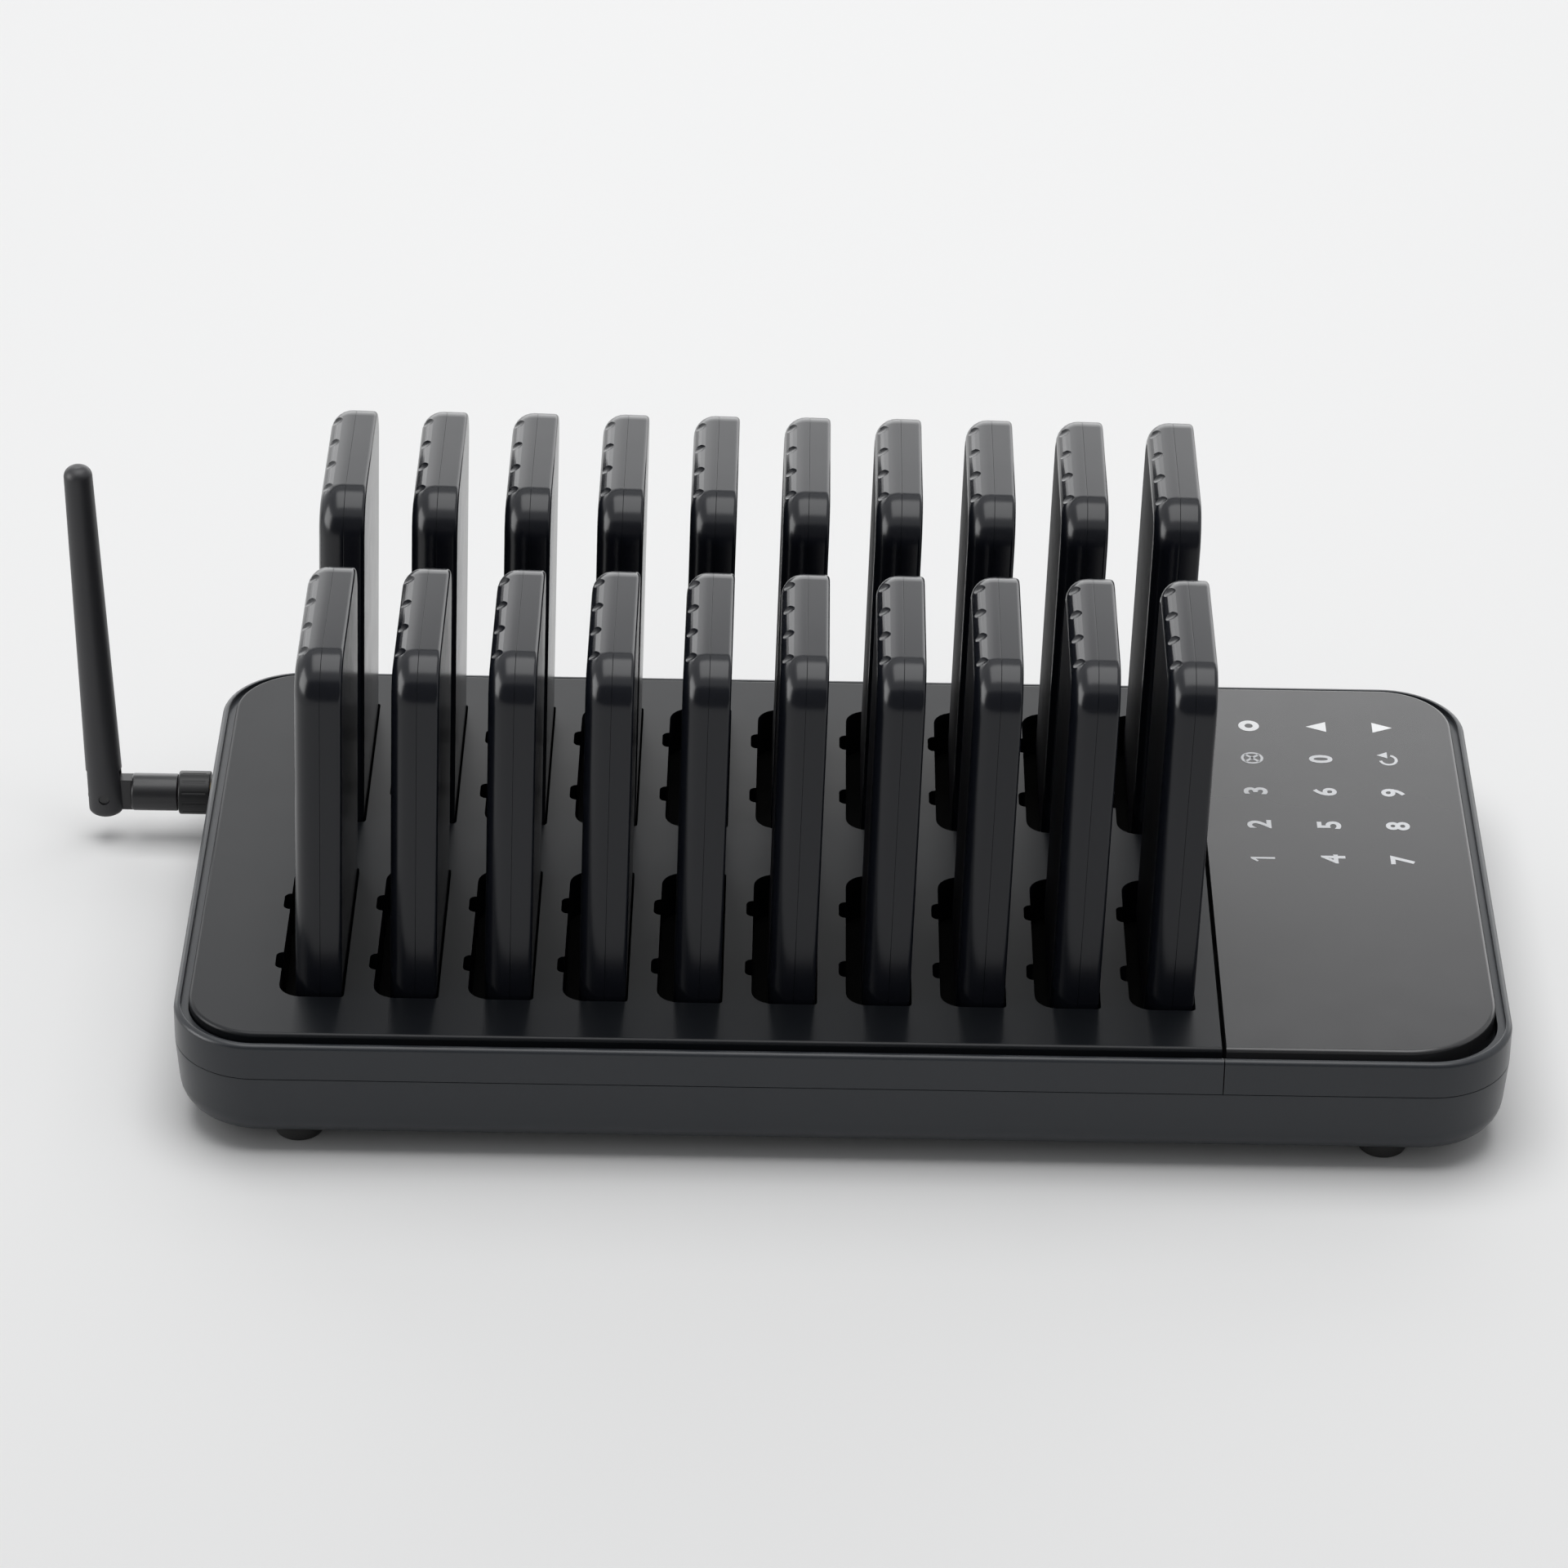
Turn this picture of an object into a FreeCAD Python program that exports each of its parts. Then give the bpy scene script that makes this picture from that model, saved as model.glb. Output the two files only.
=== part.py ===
import FreeCAD, Part
import os
import re
import Sketcher
from FreeCAD import Placement, Rotation, Vector

# Guest pager system: a charging base with ten columns by two rows of slots, a touch keypad section at
# its right end, a hinged stub antenna on its left wall and twenty flat pagers standing in the slots.
# Millimetres. +Z is up, +X runs along the base towards the keypad, +Y towards the back. The origin is
# the middle of the base on the plane of its feet.

SIZES = {
    # Charging base, outside
    "base_length": 360,
    "base_width": 200,
    "rim_height": 36,           # top of the rim above the table
    "parting_height": 25.5,     # lower shell meets the upper frames
    "corner_radius": 23,
    "shell_draft": 4,           # degrees
    "bottom_radius": 8,
    "cavity_chamfer": 3,
    "shell_wall": 2.6,
    "parting_chamfer": 0.4,
    "foot_height": 5,
    "foot_diameter": 13,
    "foot_inset_x": 33.5,
    "foot_inset_y": 15,
    # Upper frames
    "seam_margin": 13.95,       # seam beside the keypad section, from the last column of slots
    "seam_gap": 0.3,
    "rim_wall": 1.8,
    "rim_chamfer": 0.8,
    "ledge_drop": 6,            # ledge that carries the plates, below the rim
    "ledge_thickness": 3,
    "ledge_reach": 8,
    # Deck plate and keypad panel
    "groove_width": 2.2,
    "plate_rise": 1.5,          # top of the plates above the rim
    "plate_thickness": 3,
    "plate_corner_radius": 20,
    "panel_front_radius": 26,   # the keypad panel's corner at the front is rounder
    "plate_chamfer": 0.8,
    "skirt_wall": 2,
    # Slots and charging wells
    "column_count": 10,
    "column_pitch": 25.45,
    "first_column_inset": 38.5,
    "row_count": 2,
    "row_margin": 21.75,        # from the base's sides to the ends of the slots
    "row_shift": 0.8,           # both rows together, towards the back
    "slot_depth": 13.5,
    "slot_end_gap": 1,
    "slot_left_gap": 4.1,
    "slot_right_gap": 0.8,
    "slot_corner": 1,
    "slot_left_corner": 4,
    "notch_depth": 1.9,
    "notch_width": 8.6,
    "notch_corner": 1.7,
    "notch_spacing": 30,
    "well_wall": 1.6,
    # Pagers
    "pager_height": 113.4,
    "pager_depth": 64,
    "pager_thickness": 12.8,
    "pager_lean": 1.25,         # degrees towards the keypad
    "pager_top_radius": 10.6,
    "pager_foot_chamfer": 4,
    "pager_edge_chamfer": 2.4,  # round the outer face of the front cover
    "front_cover_share": 7,     # thickness of the front cover
    "pager_seat_gap": 0.3,
    # Charging contacts
    "contact_width": 3,
    "contact_length": 5,
    "contact_spacing": 20,
    "contact_rise": 0.8,
    "contact_clearance": 0.2,
    "board_thickness": 1.6,
    "contact_board_width": 30,
    # Keypad electronics
    "touch_board_gap": 7.5,     # from the seam and the panel's skirt
    "touch_board_width": 96,
    "main_board_length": 34,
    "main_board_width": 140,
    "main_board_gap": 5,        # from the inside of the back wall
    "main_board_post_gap": 2.5,
    "standoff_height": 3,
    "standoff_width": 6,
    "standoff_inset": 5,
    "radio_board_length": 34,
    "radio_board_width": 28,
    "radio_board_gap": 3,       # from the inside of the left wall, clear of the jack's flange
    "radio_can_length": 20,
    "radio_can_width": 22,
    "radio_can_height": 3,
    "radio_can_shift": 5,       # towards the middle of the base, clear of the jack's tail
    # Case screws
    "post_width": 8,            # square posts and lugs for the screws
    "screw_diameter": 2.9,
    "screw_clearance": 0.1,
    "screw_head_diameter": 5.6,
    "screw_head_height": 2,
    "screw_head_recess": 5,
    "screw_recess_clearance": 0.5,
    "screw_end_gap": 0.5,
    "pilot_floor": 1,           # solid part of a lug above its pilot hole
    # Power inlet
    "inlet_shift": 3,           # from the middle of the main board
    "inlet_body_width": 9,
    "inlet_body_height": 11,
    "inlet_body_length": 12,
    "inlet_nose_diameter": 8.6,
    "inlet_bore": 6.3,
    "inlet_bore_depth": 9,
    "inlet_pin_diameter": 2,
    "inlet_hole_clearance": 0.3,
    "inlet_nose_length": 3.6,
    "inlet_wall_gap": 0.3,
    # Antenna and its jack
    "antenna_inset": 36,        # from the back of the base
    "antenna_z": 15.5,
    "jack_boss_diameter": 15,
    "jack_boss_rise": 0.4,
    "jack_thread": 6.3,
    "jack_hole_clearance": 0.2,
    "jack_thread_length": 9,
    "jack_hex": 8,
    "jack_flange": 2.4,
    "jack_tail": 4,
    "jack_nut_thickness": 2.2,
    "collar_diameter": 12.6,
    "collar_length": 9.2,
    "collar_gap": 0.3,
    "flute_count": 12,
    "flute_depth": 0.5,
    "flute_width": 1.1,
    "knuckle_diameter": 10.8,
    "knuckle_gap": 0.3,
    "knuckle_stem_diameter": 6,
    "knuckle_stem_length": 2.5,
    "hinge_reach": 33.5,        # hinge pin from the wall
    "hinge_body_gap": 7.6,
    "tongue_thickness": 4,
    "tongue_radius": 4.9,
    "tongue_root": 1,           # tongue inside the knuckle's barrel
    "fork_clearance": 0.3,
    "fork_depth": 8,
    "hinge_pin_diameter": 3,
    "hinge_pin_clearance": 0.1,
    "hinge_pin_recess": 0.6,    # ends of the pin inside the arm's surface
    "antenna_diameter": 10.8,   # at its foot
    "antenna_taper": 0.7,       # degrees
    "antenna_length": 113,
    "antenna_foot": 6.5,        # arm below its hinge pin
    "antenna_foot_chamfer": 2.5,
    "antenna_tip_chamfer": 2.4,
    "antenna_lean": 1.9,        # degrees outwards at rest
}

# Sizes that follow from the driving ones, as formulas of them
DERIVED = {
    "ledge_top": "rim_height - ledge_drop",
    "plate_top": "rim_height + plate_rise",
    "plate_underside": "plate_top - plate_thickness",
    "rim_inner_length": "base_length - 2 * rim_wall",
    "rim_inner_width": "base_width - 2 * rim_wall",
    "plate_length": "rim_inner_length - 2 * groove_width",
    "plate_width": "rim_inner_width - 2 * groove_width",
    "floor_top": "foot_height + shell_wall",
    "slot_length": "pager_depth + 2 * slot_end_gap",
    "row_pitch": "base_width - slot_length - 2 * row_margin",
    "front_row": "row_shift - row_pitch / 2",
    "first_column": "first_column_inset - base_length / 2",
    "last_column": "first_column + (column_count - 1) * column_pitch",
    "seam_place": "last_column + seam_margin",
    "slot_width": "pager_thickness + slot_left_gap + slot_right_gap",
    "slot_shift": "(slot_right_gap - slot_left_gap) / 2",
    "slot_left_edge": "-pager_thickness / 2 - slot_left_gap",
    "well_floor": "plate_top - slot_depth",
    "well_bottom": "well_floor - well_wall",
    "well_left": "first_column + slot_left_edge - notch_depth - well_wall",
    "well_right": "last_column + pager_thickness / 2 + slot_right_gap + well_wall",
    "contact_tip": "well_floor + contact_rise",
    "pager_seat": "contact_tip + pager_seat_gap",
    "foot_x": "base_length / 2 - foot_inset_x",
    "foot_y": "base_width / 2 - foot_inset_y",
    "touch_board_right": "plate_length / 2 - skirt_wall - touch_board_gap",
    "touch_board_left": "seam_place + touch_board_gap",
    "touch_board_back": "plate_width / 2 - skirt_wall - touch_board_gap",
    "board_top": "floor_top + standoff_height + board_thickness",
    "main_board_x": "foot_x - post_width / 2 - main_board_post_gap - main_board_length / 2",
    "main_board_y": "cavity_half_width - main_board_gap - main_board_width / 2",
    "inlet_x": "main_board_x + inlet_shift",
    "inlet_axis": "board_top + inlet_body_height / 2",
    "antenna_y": "base_width / 2 - antenna_inset",
    "draft_run": "(parting_height - foot_height) * tan(shell_draft)",
    "cavity_half_length": "base_length / 2 - draft_run - shell_wall",
    "cavity_half_width": "base_width / 2 - draft_run - shell_wall",
    "radio_board_x": "radio_board_length / 2 + radio_board_gap - cavity_half_length",
    "jack_face": "base_length / 2 + jack_boss_rise",
    "jack_wall": "jack_boss_rise + draft_run + shell_wall",
    "collar_face": "jack_face + jack_nut_thickness + collar_gap",
    "knuckle_face": "collar_face + collar_length + knuckle_gap",
    "hinge_x": "base_length / 2 + hinge_reach",
}

doc = FreeCAD.newDocument("GuestPagerSystem")
sheet = doc.addObject("Spreadsheet::Sheet", "Sizes")
for row, (alias, size) in enumerate(SIZES.items(), start=1):
    sheet.set(f"A{row}", alias)
    sheet.set(f"B{row}", str(size))
    sheet.setAlias(f"B{row}", alias)
doc.recompute()

parts = []


# ---- Formulas, sketches and features ----

def formula(text):
    def spell(match):
        word = match.group()
        if word in SIZES:
            return "Sizes." + word
        if word in DERIVED:
            return "(" + formula(DERIVED[word]) + ")"
        return word
    return re.sub(r"[a-z]\w*", spell, text)


def number(text):
    return float(sheet.evalExpression(formula(text)))


def bind(target, name, text):
    target.setExpression(name, formula(text))


def new_body(name, several_solids=False):
    body = doc.addObject("PartDesign::Body", name)
    body.Label = name
    body.AllowCompound = several_solids
    parts.append(body)
    return body


def origin_item(body, role):
    return next(item for item in body.Origin.OriginFeatures if item.Role == role)


def new_sketch(body, name, plane="XY_Plane", lift="0", across="0", up="0"):
    sketch = body.newObject("Sketcher::SketchObject", f"{body.Name}_{name}_sketch")
    sketch.AttachmentSupport = [(origin_item(body, plane), "")]
    sketch.MapMode = "FlatFace"
    bind(sketch, "AttachmentOffset.Base.z", lift)
    bind(sketch, "AttachmentOffset.Base.x", across)
    bind(sketch, "AttachmentOffset.Base.y", up)
    return sketch


def dimension(sketch, name, constraint, text):
    index = sketch.addConstraint(constraint)
    sketch.renameConstraint(index, name)
    bind(sketch, f"Constraints.{name}", text)


def rounded_rectangle(sketch, name, length, width, radius, front_right=None):
    # Four lines and four tangent arcs, centred on the sketch's own origin. The corner at the front
    # right may have a radius of its own.
    half_l, half_w, r = number(length) / 2, number(width) / 2, number(radius)
    f = number(front_right or radius)
    ends = [((r - half_l, -half_w), (half_l - f, -half_w)), ((half_l, f - half_w), (half_l, half_w - r)),
            ((half_l - r, half_w), (r - half_l, half_w)), ((-half_l, half_w - r), (-half_l, r - half_w))]
    centres = [(half_l - f, f - half_w), (half_l - r, half_w - r), (r - half_l, half_w - r),
               (r - half_l, r - half_w)]
    first = sketch.GeometryCount
    for start, end in ends:
        sketch.addGeometry(Part.LineSegment(Vector(*start, 0), Vector(*end, 0)), False)
    quarter = 1.5707963267948966
    for turn, centre in enumerate(centres):
        circle = Part.Circle(Vector(*centre, 0), Vector(0, 0, 1), r if turn else f)
        sketch.addGeometry(Part.ArcOfCircle(circle, (turn - 1) * quarter, turn * quarter), False)
    for side in range(4):
        line, arc, following = first + side, first + 4 + side, first + (side + 1) % 4
        sketch.addConstraint(Sketcher.Constraint("Tangent", line, 2, arc, 1))
        sketch.addConstraint(Sketcher.Constraint("Tangent", arc, 2, following, 1))
        sketch.addConstraint(Sketcher.Constraint("Vertical" if side % 2 else "Horizontal", line))
    for arc in (first + 6, first + 7):
        sketch.addConstraint(Sketcher.Constraint("Equal", first + 5, arc))
    sketch.addConstraint(Sketcher.Constraint("Symmetric", first, 1, first + 2, 1, -1, 1))
    dimension(sketch, name + "_radius", Sketcher.Constraint("Radius", first + 5, r), radius)
    dimension(sketch, name + "_front_right", Sketcher.Constraint("Radius", first + 4, f),
              front_right or radius)
    dimension(sketch, name + "_length",
              Sketcher.Constraint("DistanceX", first + 3, 1, first + 1, 1, 2 * half_l), length)
    dimension(sketch, name + "_width",
              Sketcher.Constraint("DistanceY", first, 1, first + 2, 1, 2 * half_w), width)


def rectangle(sketch, name, length, width):
    # Four lines centred on the sketch's own origin.
    half_l, half_w = number(length) / 2, number(width) / 2
    corners = [(-half_l, -half_w), (half_l, -half_w), (half_l, half_w), (-half_l, half_w)]
    first = sketch.GeometryCount
    for start, end in zip(corners, corners[1:] + corners[:1]):
        sketch.addGeometry(Part.LineSegment(Vector(*start, 0), Vector(*end, 0)), False)
    for side in range(4):
        line, following = first + side, first + (side + 1) % 4
        sketch.addConstraint(Sketcher.Constraint("Coincident", line, 2, following, 1))
        sketch.addConstraint(Sketcher.Constraint("Vertical" if side % 2 else "Horizontal", line))
    sketch.addConstraint(Sketcher.Constraint("Symmetric", first, 1, first + 2, 1, -1, 1))
    dimension(sketch, name + "_length", Sketcher.Constraint("DistanceX", first, 1, first, 2, 2 * half_l),
              length)
    dimension(sketch, name + "_width",
              Sketcher.Constraint("DistanceY", first + 1, 1, first + 1, 2, 2 * half_w), width)


def cut_rectangle(sketch, name, length, width, corner, left_corner=None):
    # Eight lines: a rectangle centred on the sketch's own origin with 45 degree corners.
    left = left_corner or corner
    half_l, half_w, c, d = number(length) / 2, number(width) / 2, number(corner), number(left)
    upper = [(half_l, half_w - c), (half_l - c, half_w), (d - half_l, half_w), (-half_l, half_w - d)]
    outline = upper + [(x, -y) for x, y in reversed(upper)]
    first = sketch.GeometryCount
    for start, end in zip(outline, outline[1:] + outline[:1]):
        sketch.addGeometry(Part.LineSegment(Vector(*start, 0), Vector(*end, 0)), False)
    for side in range(8):
        line, following = first + side, first + (side + 1) % 8
        sketch.addConstraint(Sketcher.Constraint("Coincident", line, 2, following, 1))
    # The ends mirror themselves about the X axis, and the two long sides mirror each other.
    top, left_end, bottom, right_end = (first + line for line in (1, 3, 5, 7))
    for line in (left_end, right_end):
        sketch.addConstraint(Sketcher.Constraint("Symmetric", line, 1, line, 2, -1))
    for point in (1, 2):
        sketch.addConstraint(Sketcher.Constraint("Symmetric", top, point, bottom, 3 - point, -1))
    sketch.addConstraint(Sketcher.Constraint("Horizontal", top))
    dimension(sketch, name + "_corner_x", Sketcher.Constraint("DistanceX", first, 2, first, 1, c), corner)
    dimension(sketch, name + "_corner_y", Sketcher.Constraint("DistanceY", first, 1, first, 2, c), corner)
    cut = first + 2
    dimension(sketch, name + "_left_corner_x", Sketcher.Constraint("DistanceX", cut, 2, cut, 1, d), left)
    dimension(sketch, name + "_left_corner_y", Sketcher.Constraint("DistanceY", cut, 2, cut, 1, d), left)
    dimension(sketch, name + "_length",
              Sketcher.Constraint("DistanceX", left_end, 1, right_end, 2, 2 * half_l), length)
    dimension(sketch, name + "_reach", Sketcher.Constraint("DistanceX", -1, 1, right_end, 2, half_l),
              f"({length}) / 2")
    dimension(sketch, name + "_width",
              Sketcher.Constraint("DistanceY", bottom, 1, top, 2, 2 * half_w), width)


def circle(sketch, name, diameter, x="0", y="0"):
    centre = Vector(number(x), number(y), 0)
    index = sketch.addGeometry(Part.Circle(centre, Vector(0, 0, 1), number(diameter) / 2), False)
    dimension(sketch, name + "_diameter", Sketcher.Constraint("Diameter", index, number(diameter)), diameter)
    for axis, place, text in (("X", centre.x, x), ("Y", centre.y, y)):
        if abs(place) < 1e-9:
            line = -2 if axis == "X" else -1
            sketch.addConstraint(Sketcher.Constraint("PointOnObject", index, 3, line))
        else:
            distance = Sketcher.Constraint("Distance" + axis, -1, 1, index, 3, place)
            dimension(sketch, f"{name}_{axis.lower()}", distance, text)


def hexagon(sketch, name, across_flats):
    # Six lines on a construction circle that touches each flat.
    flats = number(across_flats)
    reach = flats / 3 ** 0.5
    corners = [Rotation(Vector(0, 0, 1), 60 * turn + 30).multVec(Vector(reach, 0, 0)) for turn in range(6)]
    first = sketch.GeometryCount
    for start, end in zip(corners, corners[1:] + corners[:1]):
        sketch.addGeometry(Part.LineSegment(start, end), False)
    ring = sketch.addGeometry(Part.Circle(Vector(0, 0, 0), Vector(0, 0, 1), flats / 2), True)
    for side in range(6):
        following = first + (side + 1) % 6
        sketch.addConstraint(Sketcher.Constraint("Coincident", first + side, 2, following, 1))
        sketch.addConstraint(Sketcher.Constraint("Tangent", first + side, ring))
        if side:
            sketch.addConstraint(Sketcher.Constraint("Equal", first, first + side))
    sketch.addConstraint(Sketcher.Constraint("Coincident", ring, 3, -1, 1))
    sketch.addConstraint(Sketcher.Constraint("Vertical", first + 5))
    dimension(sketch, name + "_flats", Sketcher.Constraint("Diameter", ring, flats), across_flats)


def feature(body, kind, name, sketch, length=None, reverse=False):
    made = body.newObject(f"PartDesign::{kind}", f"{body.Name}_{name}")
    made.Profile = sketch
    made.Reversed = reverse
    if length is None:
        made.Type = "ThroughAll"
    else:
        bind(made, "Length", length)
    return made


def pad(body, name, sketch, length, reverse=False, taper=None):
    made = feature(body, "Pad", name, sketch, length, reverse)
    if taper:
        bind(made, "TaperAngle", taper)
    doc.recompute()
    if made.Shape.isNull():
        raise RuntimeError(f"{made.Name} adds nothing")
    return made


def pocket(body, name, sketch, length=None, reverse=False, taper=None):
    before = body.Shape.Volume
    made = feature(body, "Pocket", name, sketch, length, reverse)
    if taper:
        bind(made, "TaperAngle", taper)
    doc.recompute()
    if body.Shape.Volume >= before:
        raise RuntimeError(f"{made.Name} cuts nothing")
    return made


def edges_where(base, test):
    # Names of the edges whose ends and middle all pass the test.
    names = []
    for index, edge in enumerate(base.Shape.Edges, start=1):
        middle = edge.valueAt((edge.FirstParameter + edge.LastParameter) / 2)
        if all(test(point) for point in [vertex.Point for vertex in edge.Vertexes] + [middle]):
            names.append(f"Edge{index}")
    return names


def dress(body, kind, name, base, test, size):
    made = body.newObject(f"PartDesign::{kind}", f"{body.Name}_{name}")
    made.Base = (base, edges_where(base, test))
    bind(made, "Size" if kind == "Chamfer" else "Radius", size)
    doc.recompute()
    return made


def at_height(text):
    height = number(text)
    return lambda point: abs(point.z - height) < 1e-3


def outer_edge_at(text, length, width):
    # Edges at one height that lie on the rounded outline of the given length and width.
    level, half_l, half_w = at_height(text), number(length) / 2, number(width) / 2
    reach = number("corner_radius") + 1

    def on_outline(point):
        x, y = abs(point.x), abs(point.y)
        corner = x > half_l - reach and y > half_w - reach
        return level(point) and (corner or x > half_l - 1e-3 or y > half_w - 1e-3)
    return on_outline


def pattern(body, name, originals, along, step, count, second=None):
    made = body.newObject("PartDesign::LinearPattern", f"{body.Name}_{name}")
    made.Originals = originals
    made.Direction = (origin_item(body, along + "_Axis"), [""])
    made.Mode = "Spacing"
    bind(made, "Offset", step)
    bind(made, "Occurrences", count)
    if second:
        made.Direction2 = (origin_item(body, second[0] + "_Axis"), [""])
        made.Mode2 = "Spacing"
        bind(made, "Offset2", second[1])
        bind(made, "Occurrences2", second[2])
        # In the list of steps, -1 stands for the common step.
        made.Spacings2 = [-1] * (int(number(second[2])) - 1)
    body.Tip = made
    doc.recompute()
    return made


def place(body, x="0", y="0", z="0", turn=None, axis=Vector(0, 1, 0)):
    body.Placement = Placement(Vector(0, 0, 0), Rotation(axis, 0))
    bind(body, "Placement.Base.x", x)
    bind(body, "Placement.Base.y", y)
    bind(body, "Placement.Base.z", z)
    if turn:
        body.Placement = Placement(Vector(0, 0, 0), Rotation(axis, 1))
        bind(body, "Placement.Rotation.Angle", turn)


# ---- Charging base ----

CORNERS = (("left_front", "-", "-"), ("left_back", "-", ""), ("right_front", "", "-"), ("right_back", "", ""))


def make_lower_shell():
    # Drafted tray with a rounded bottom edge, four screw posts, board standoffs and two openings.
    body = new_body("lower_shell")
    outline = new_sketch(body, "outline", lift="parting_height")
    rounded_rectangle(outline, "outer", "base_length", "base_width", "corner_radius")
    block = pad(body, "block", outline, "parting_height - foot_height", reverse=True)
    drafted = draft_sides(body, block, "parting_height", "shell_draft")
    rounded = dress(body, "Fillet", "bottom_edge", drafted, at_height("foot_height"), "bottom_radius")
    dress(body, "Chamfer", "parting_edge", rounded, at_height("parting_height"), "parting_chamfer")
    inside = new_sketch(body, "inside", lift="parting_height")
    rounded_rectangle(inside, "inner", "2 * cavity_half_length", "2 * cavity_half_width",
                      "corner_radius - draft_run - shell_wall")
    cavity = pocket(body, "cavity", inside, "parting_height - floor_top")
    dress(body, "Chamfer", "cavity_edge", cavity, at_height("floor_top"), "cavity_chamfer")

    for name, side_x, side_y in CORNERS:
        post = new_sketch(body, f"{name}_post", lift="foot_height + shell_wall / 2",
                          across=f"{side_x}(foot_x)", up=f"{side_y}(foot_y)")
        rectangle(post, "post", "post_width", "post_width")
        pad(body, f"{name}_screw_post", post, "parting_height - foot_height - shell_wall / 2")
        rest = new_sketch(body, f"{name}_rest", lift="foot_height + shell_wall / 2",
                          across=f"main_board_x + {side_x}(main_board_length / 2 - standoff_inset)",
                          up=f"main_board_y + {side_y}(main_board_width / 2 - standoff_inset)")
        rectangle(rest, "rest", "standoff_width", "standoff_width")
        pad(body, f"{name}_board_rest", rest, "shell_wall / 2 + standoff_height")
    radio = new_sketch(body, "radio_rest", lift="foot_height + shell_wall / 2", up="antenna_y",
                       across="radio_board_x")
    rectangle(radio, "rest", "radio_board_length / 2", "radio_board_width / 2")
    pad(body, "radio_board_rest", radio, "shell_wall / 2 + standoff_height")
    jack = new_sketch(body, "jack_boss", "YZ_Plane", "-(jack_face)", "antenna_y", "antenna_z")
    circle(jack, "boss", "jack_boss_diameter")
    pad(body, "antenna_boss", jack, "jack_wall")

    holes = new_sketch(body, "screw_holes", lift="foot_height")
    corner_circles(holes, "screw_diameter + 2 * screw_clearance")
    pocket(body, "case_screw_holes", holes, "parting_height - foot_height", reverse=True)
    recesses = new_sketch(body, "screw_recesses", lift="foot_height")
    corner_circles(recesses, "screw_head_diameter + 2 * screw_recess_clearance")
    pocket(body, "case_screw_recesses", recesses, "screw_head_recess", reverse=True)
    bore = new_sketch(body, "jack_hole", "YZ_Plane", "-(jack_face)", "antenna_y", "antenna_z")
    circle(bore, "bore", "jack_thread + 2 * jack_hole_clearance")
    pocket(body, "antenna_hole", bore, "jack_wall + shell_wall", reverse=True)
    inlet = new_sketch(body, "inlet_hole", "XZ_Plane", "-(base_width / 2)", "inlet_x", "inlet_axis")
    circle(inlet, "hole", "inlet_nose_diameter + 2 * inlet_hole_clearance")
    pocket(body, "power_hole", inlet, "draft_run + 2 * shell_wall", reverse=True)


def draft_sides(body, base, neutral, angle):
    # Leans every side wall inwards below the neutral height.
    made = body.newObject("PartDesign::Draft", f"{body.Name}_side_draft")
    faces = list(enumerate(base.Shape.Faces, start=1))
    upright = [f"Face{index}" for index, face in faces if abs(face.normalAt(0, 0).z) < 1e-6]
    level = [f"Face{index}" for index, face in faces
             if abs(face.CenterOfMass.z - number(neutral)) < 1e-6 and abs(face.normalAt(0, 0).z) > 0.5]
    made.Base = (base, upright)
    made.NeutralPlane = (base, level)
    made.Reversed = True
    bind(made, "Angle", angle)
    doc.recompute()
    if made.Shape.isNull() or made.Shape.Volume >= base.Shape.Volume:
        raise RuntimeError("the side walls are not drafted inwards")
    return made


def corner_circles(sketch, diameter):
    for name, side_x, side_y in CORNERS:
        circle(sketch, name, diameter, f"{side_x}(foot_x)", f"{side_y}(foot_y)")


def make_top_frame(name, keeps_left):
    # Rim and ledge of one section, cut square at the seam, with a lug over each screw post.
    body = new_body(name)
    rim = new_sketch(body, "rim", lift="parting_height")
    rounded_rectangle(rim, "outer", "base_length", "base_width", "corner_radius")
    rounded_rectangle(rim, "inner", "rim_inner_length", "rim_inner_width", "corner_radius - rim_wall")
    wall = pad(body, "wall", rim, "rim_height - parting_height")
    dress(body, "Chamfer", "rim_edge", wall, outer_edge_at("rim_height", "base_length", "base_width"),
          "rim_chamfer")
    ledge = new_sketch(body, "ledge", lift="ledge_top")
    rounded_rectangle(ledge, "outer", "rim_inner_length + rim_wall", "rim_inner_width + rim_wall",
                      "corner_radius - rim_wall / 2")
    rounded_rectangle(ledge, "inner", "base_length - 2 * ledge_reach", "base_width - 2 * ledge_reach",
                      "corner_radius - ledge_reach")
    pad(body, "plate_ledge", ledge, "ledge_thickness", reverse=True)
    corners = [corner for corner in CORNERS if corner[1] == ("-" if keeps_left else "")]
    lug_length = "foot_inset_y + post_width / 2 - rim_wall / 2"
    holes = new_sketch(body, "screw_pilots", lift="parting_height")
    for name, side_x, side_y in corners:
        lug = new_sketch(body, f"{name}_lug", lift="ledge_top", across=f"{side_x}(foot_x)",
                         up=f"{side_y}(base_width / 2 - rim_wall / 2 - ({lug_length}) / 2)")
        rectangle(lug, "lug", "post_width", lug_length)
        pad(body, f"{name}_screw_lug", lug, "ledge_top - parting_height", reverse=True)
        circle(holes, name, "screw_diameter + 2 * screw_clearance", f"{side_x}(foot_x)",
               f"{side_y}(foot_y)")
    pocket(body, "pilot_holes", holes, "ledge_top - parting_height - pilot_floor", reverse=True)
    cut_at_seam(body, keeps_left)


def cut_at_seam(body, keeps_left):
    side = "+" if keeps_left else "-"
    edge = f"seam_place {'-' if keeps_left else '+'} seam_gap / 2"
    other = new_sketch(body, "other_section", across=f"{edge} {side} base_length")
    rectangle(other, "other", "2 * base_length", "2 * base_width")
    pocket(body, "seam_cut", other, reverse=True)


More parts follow.
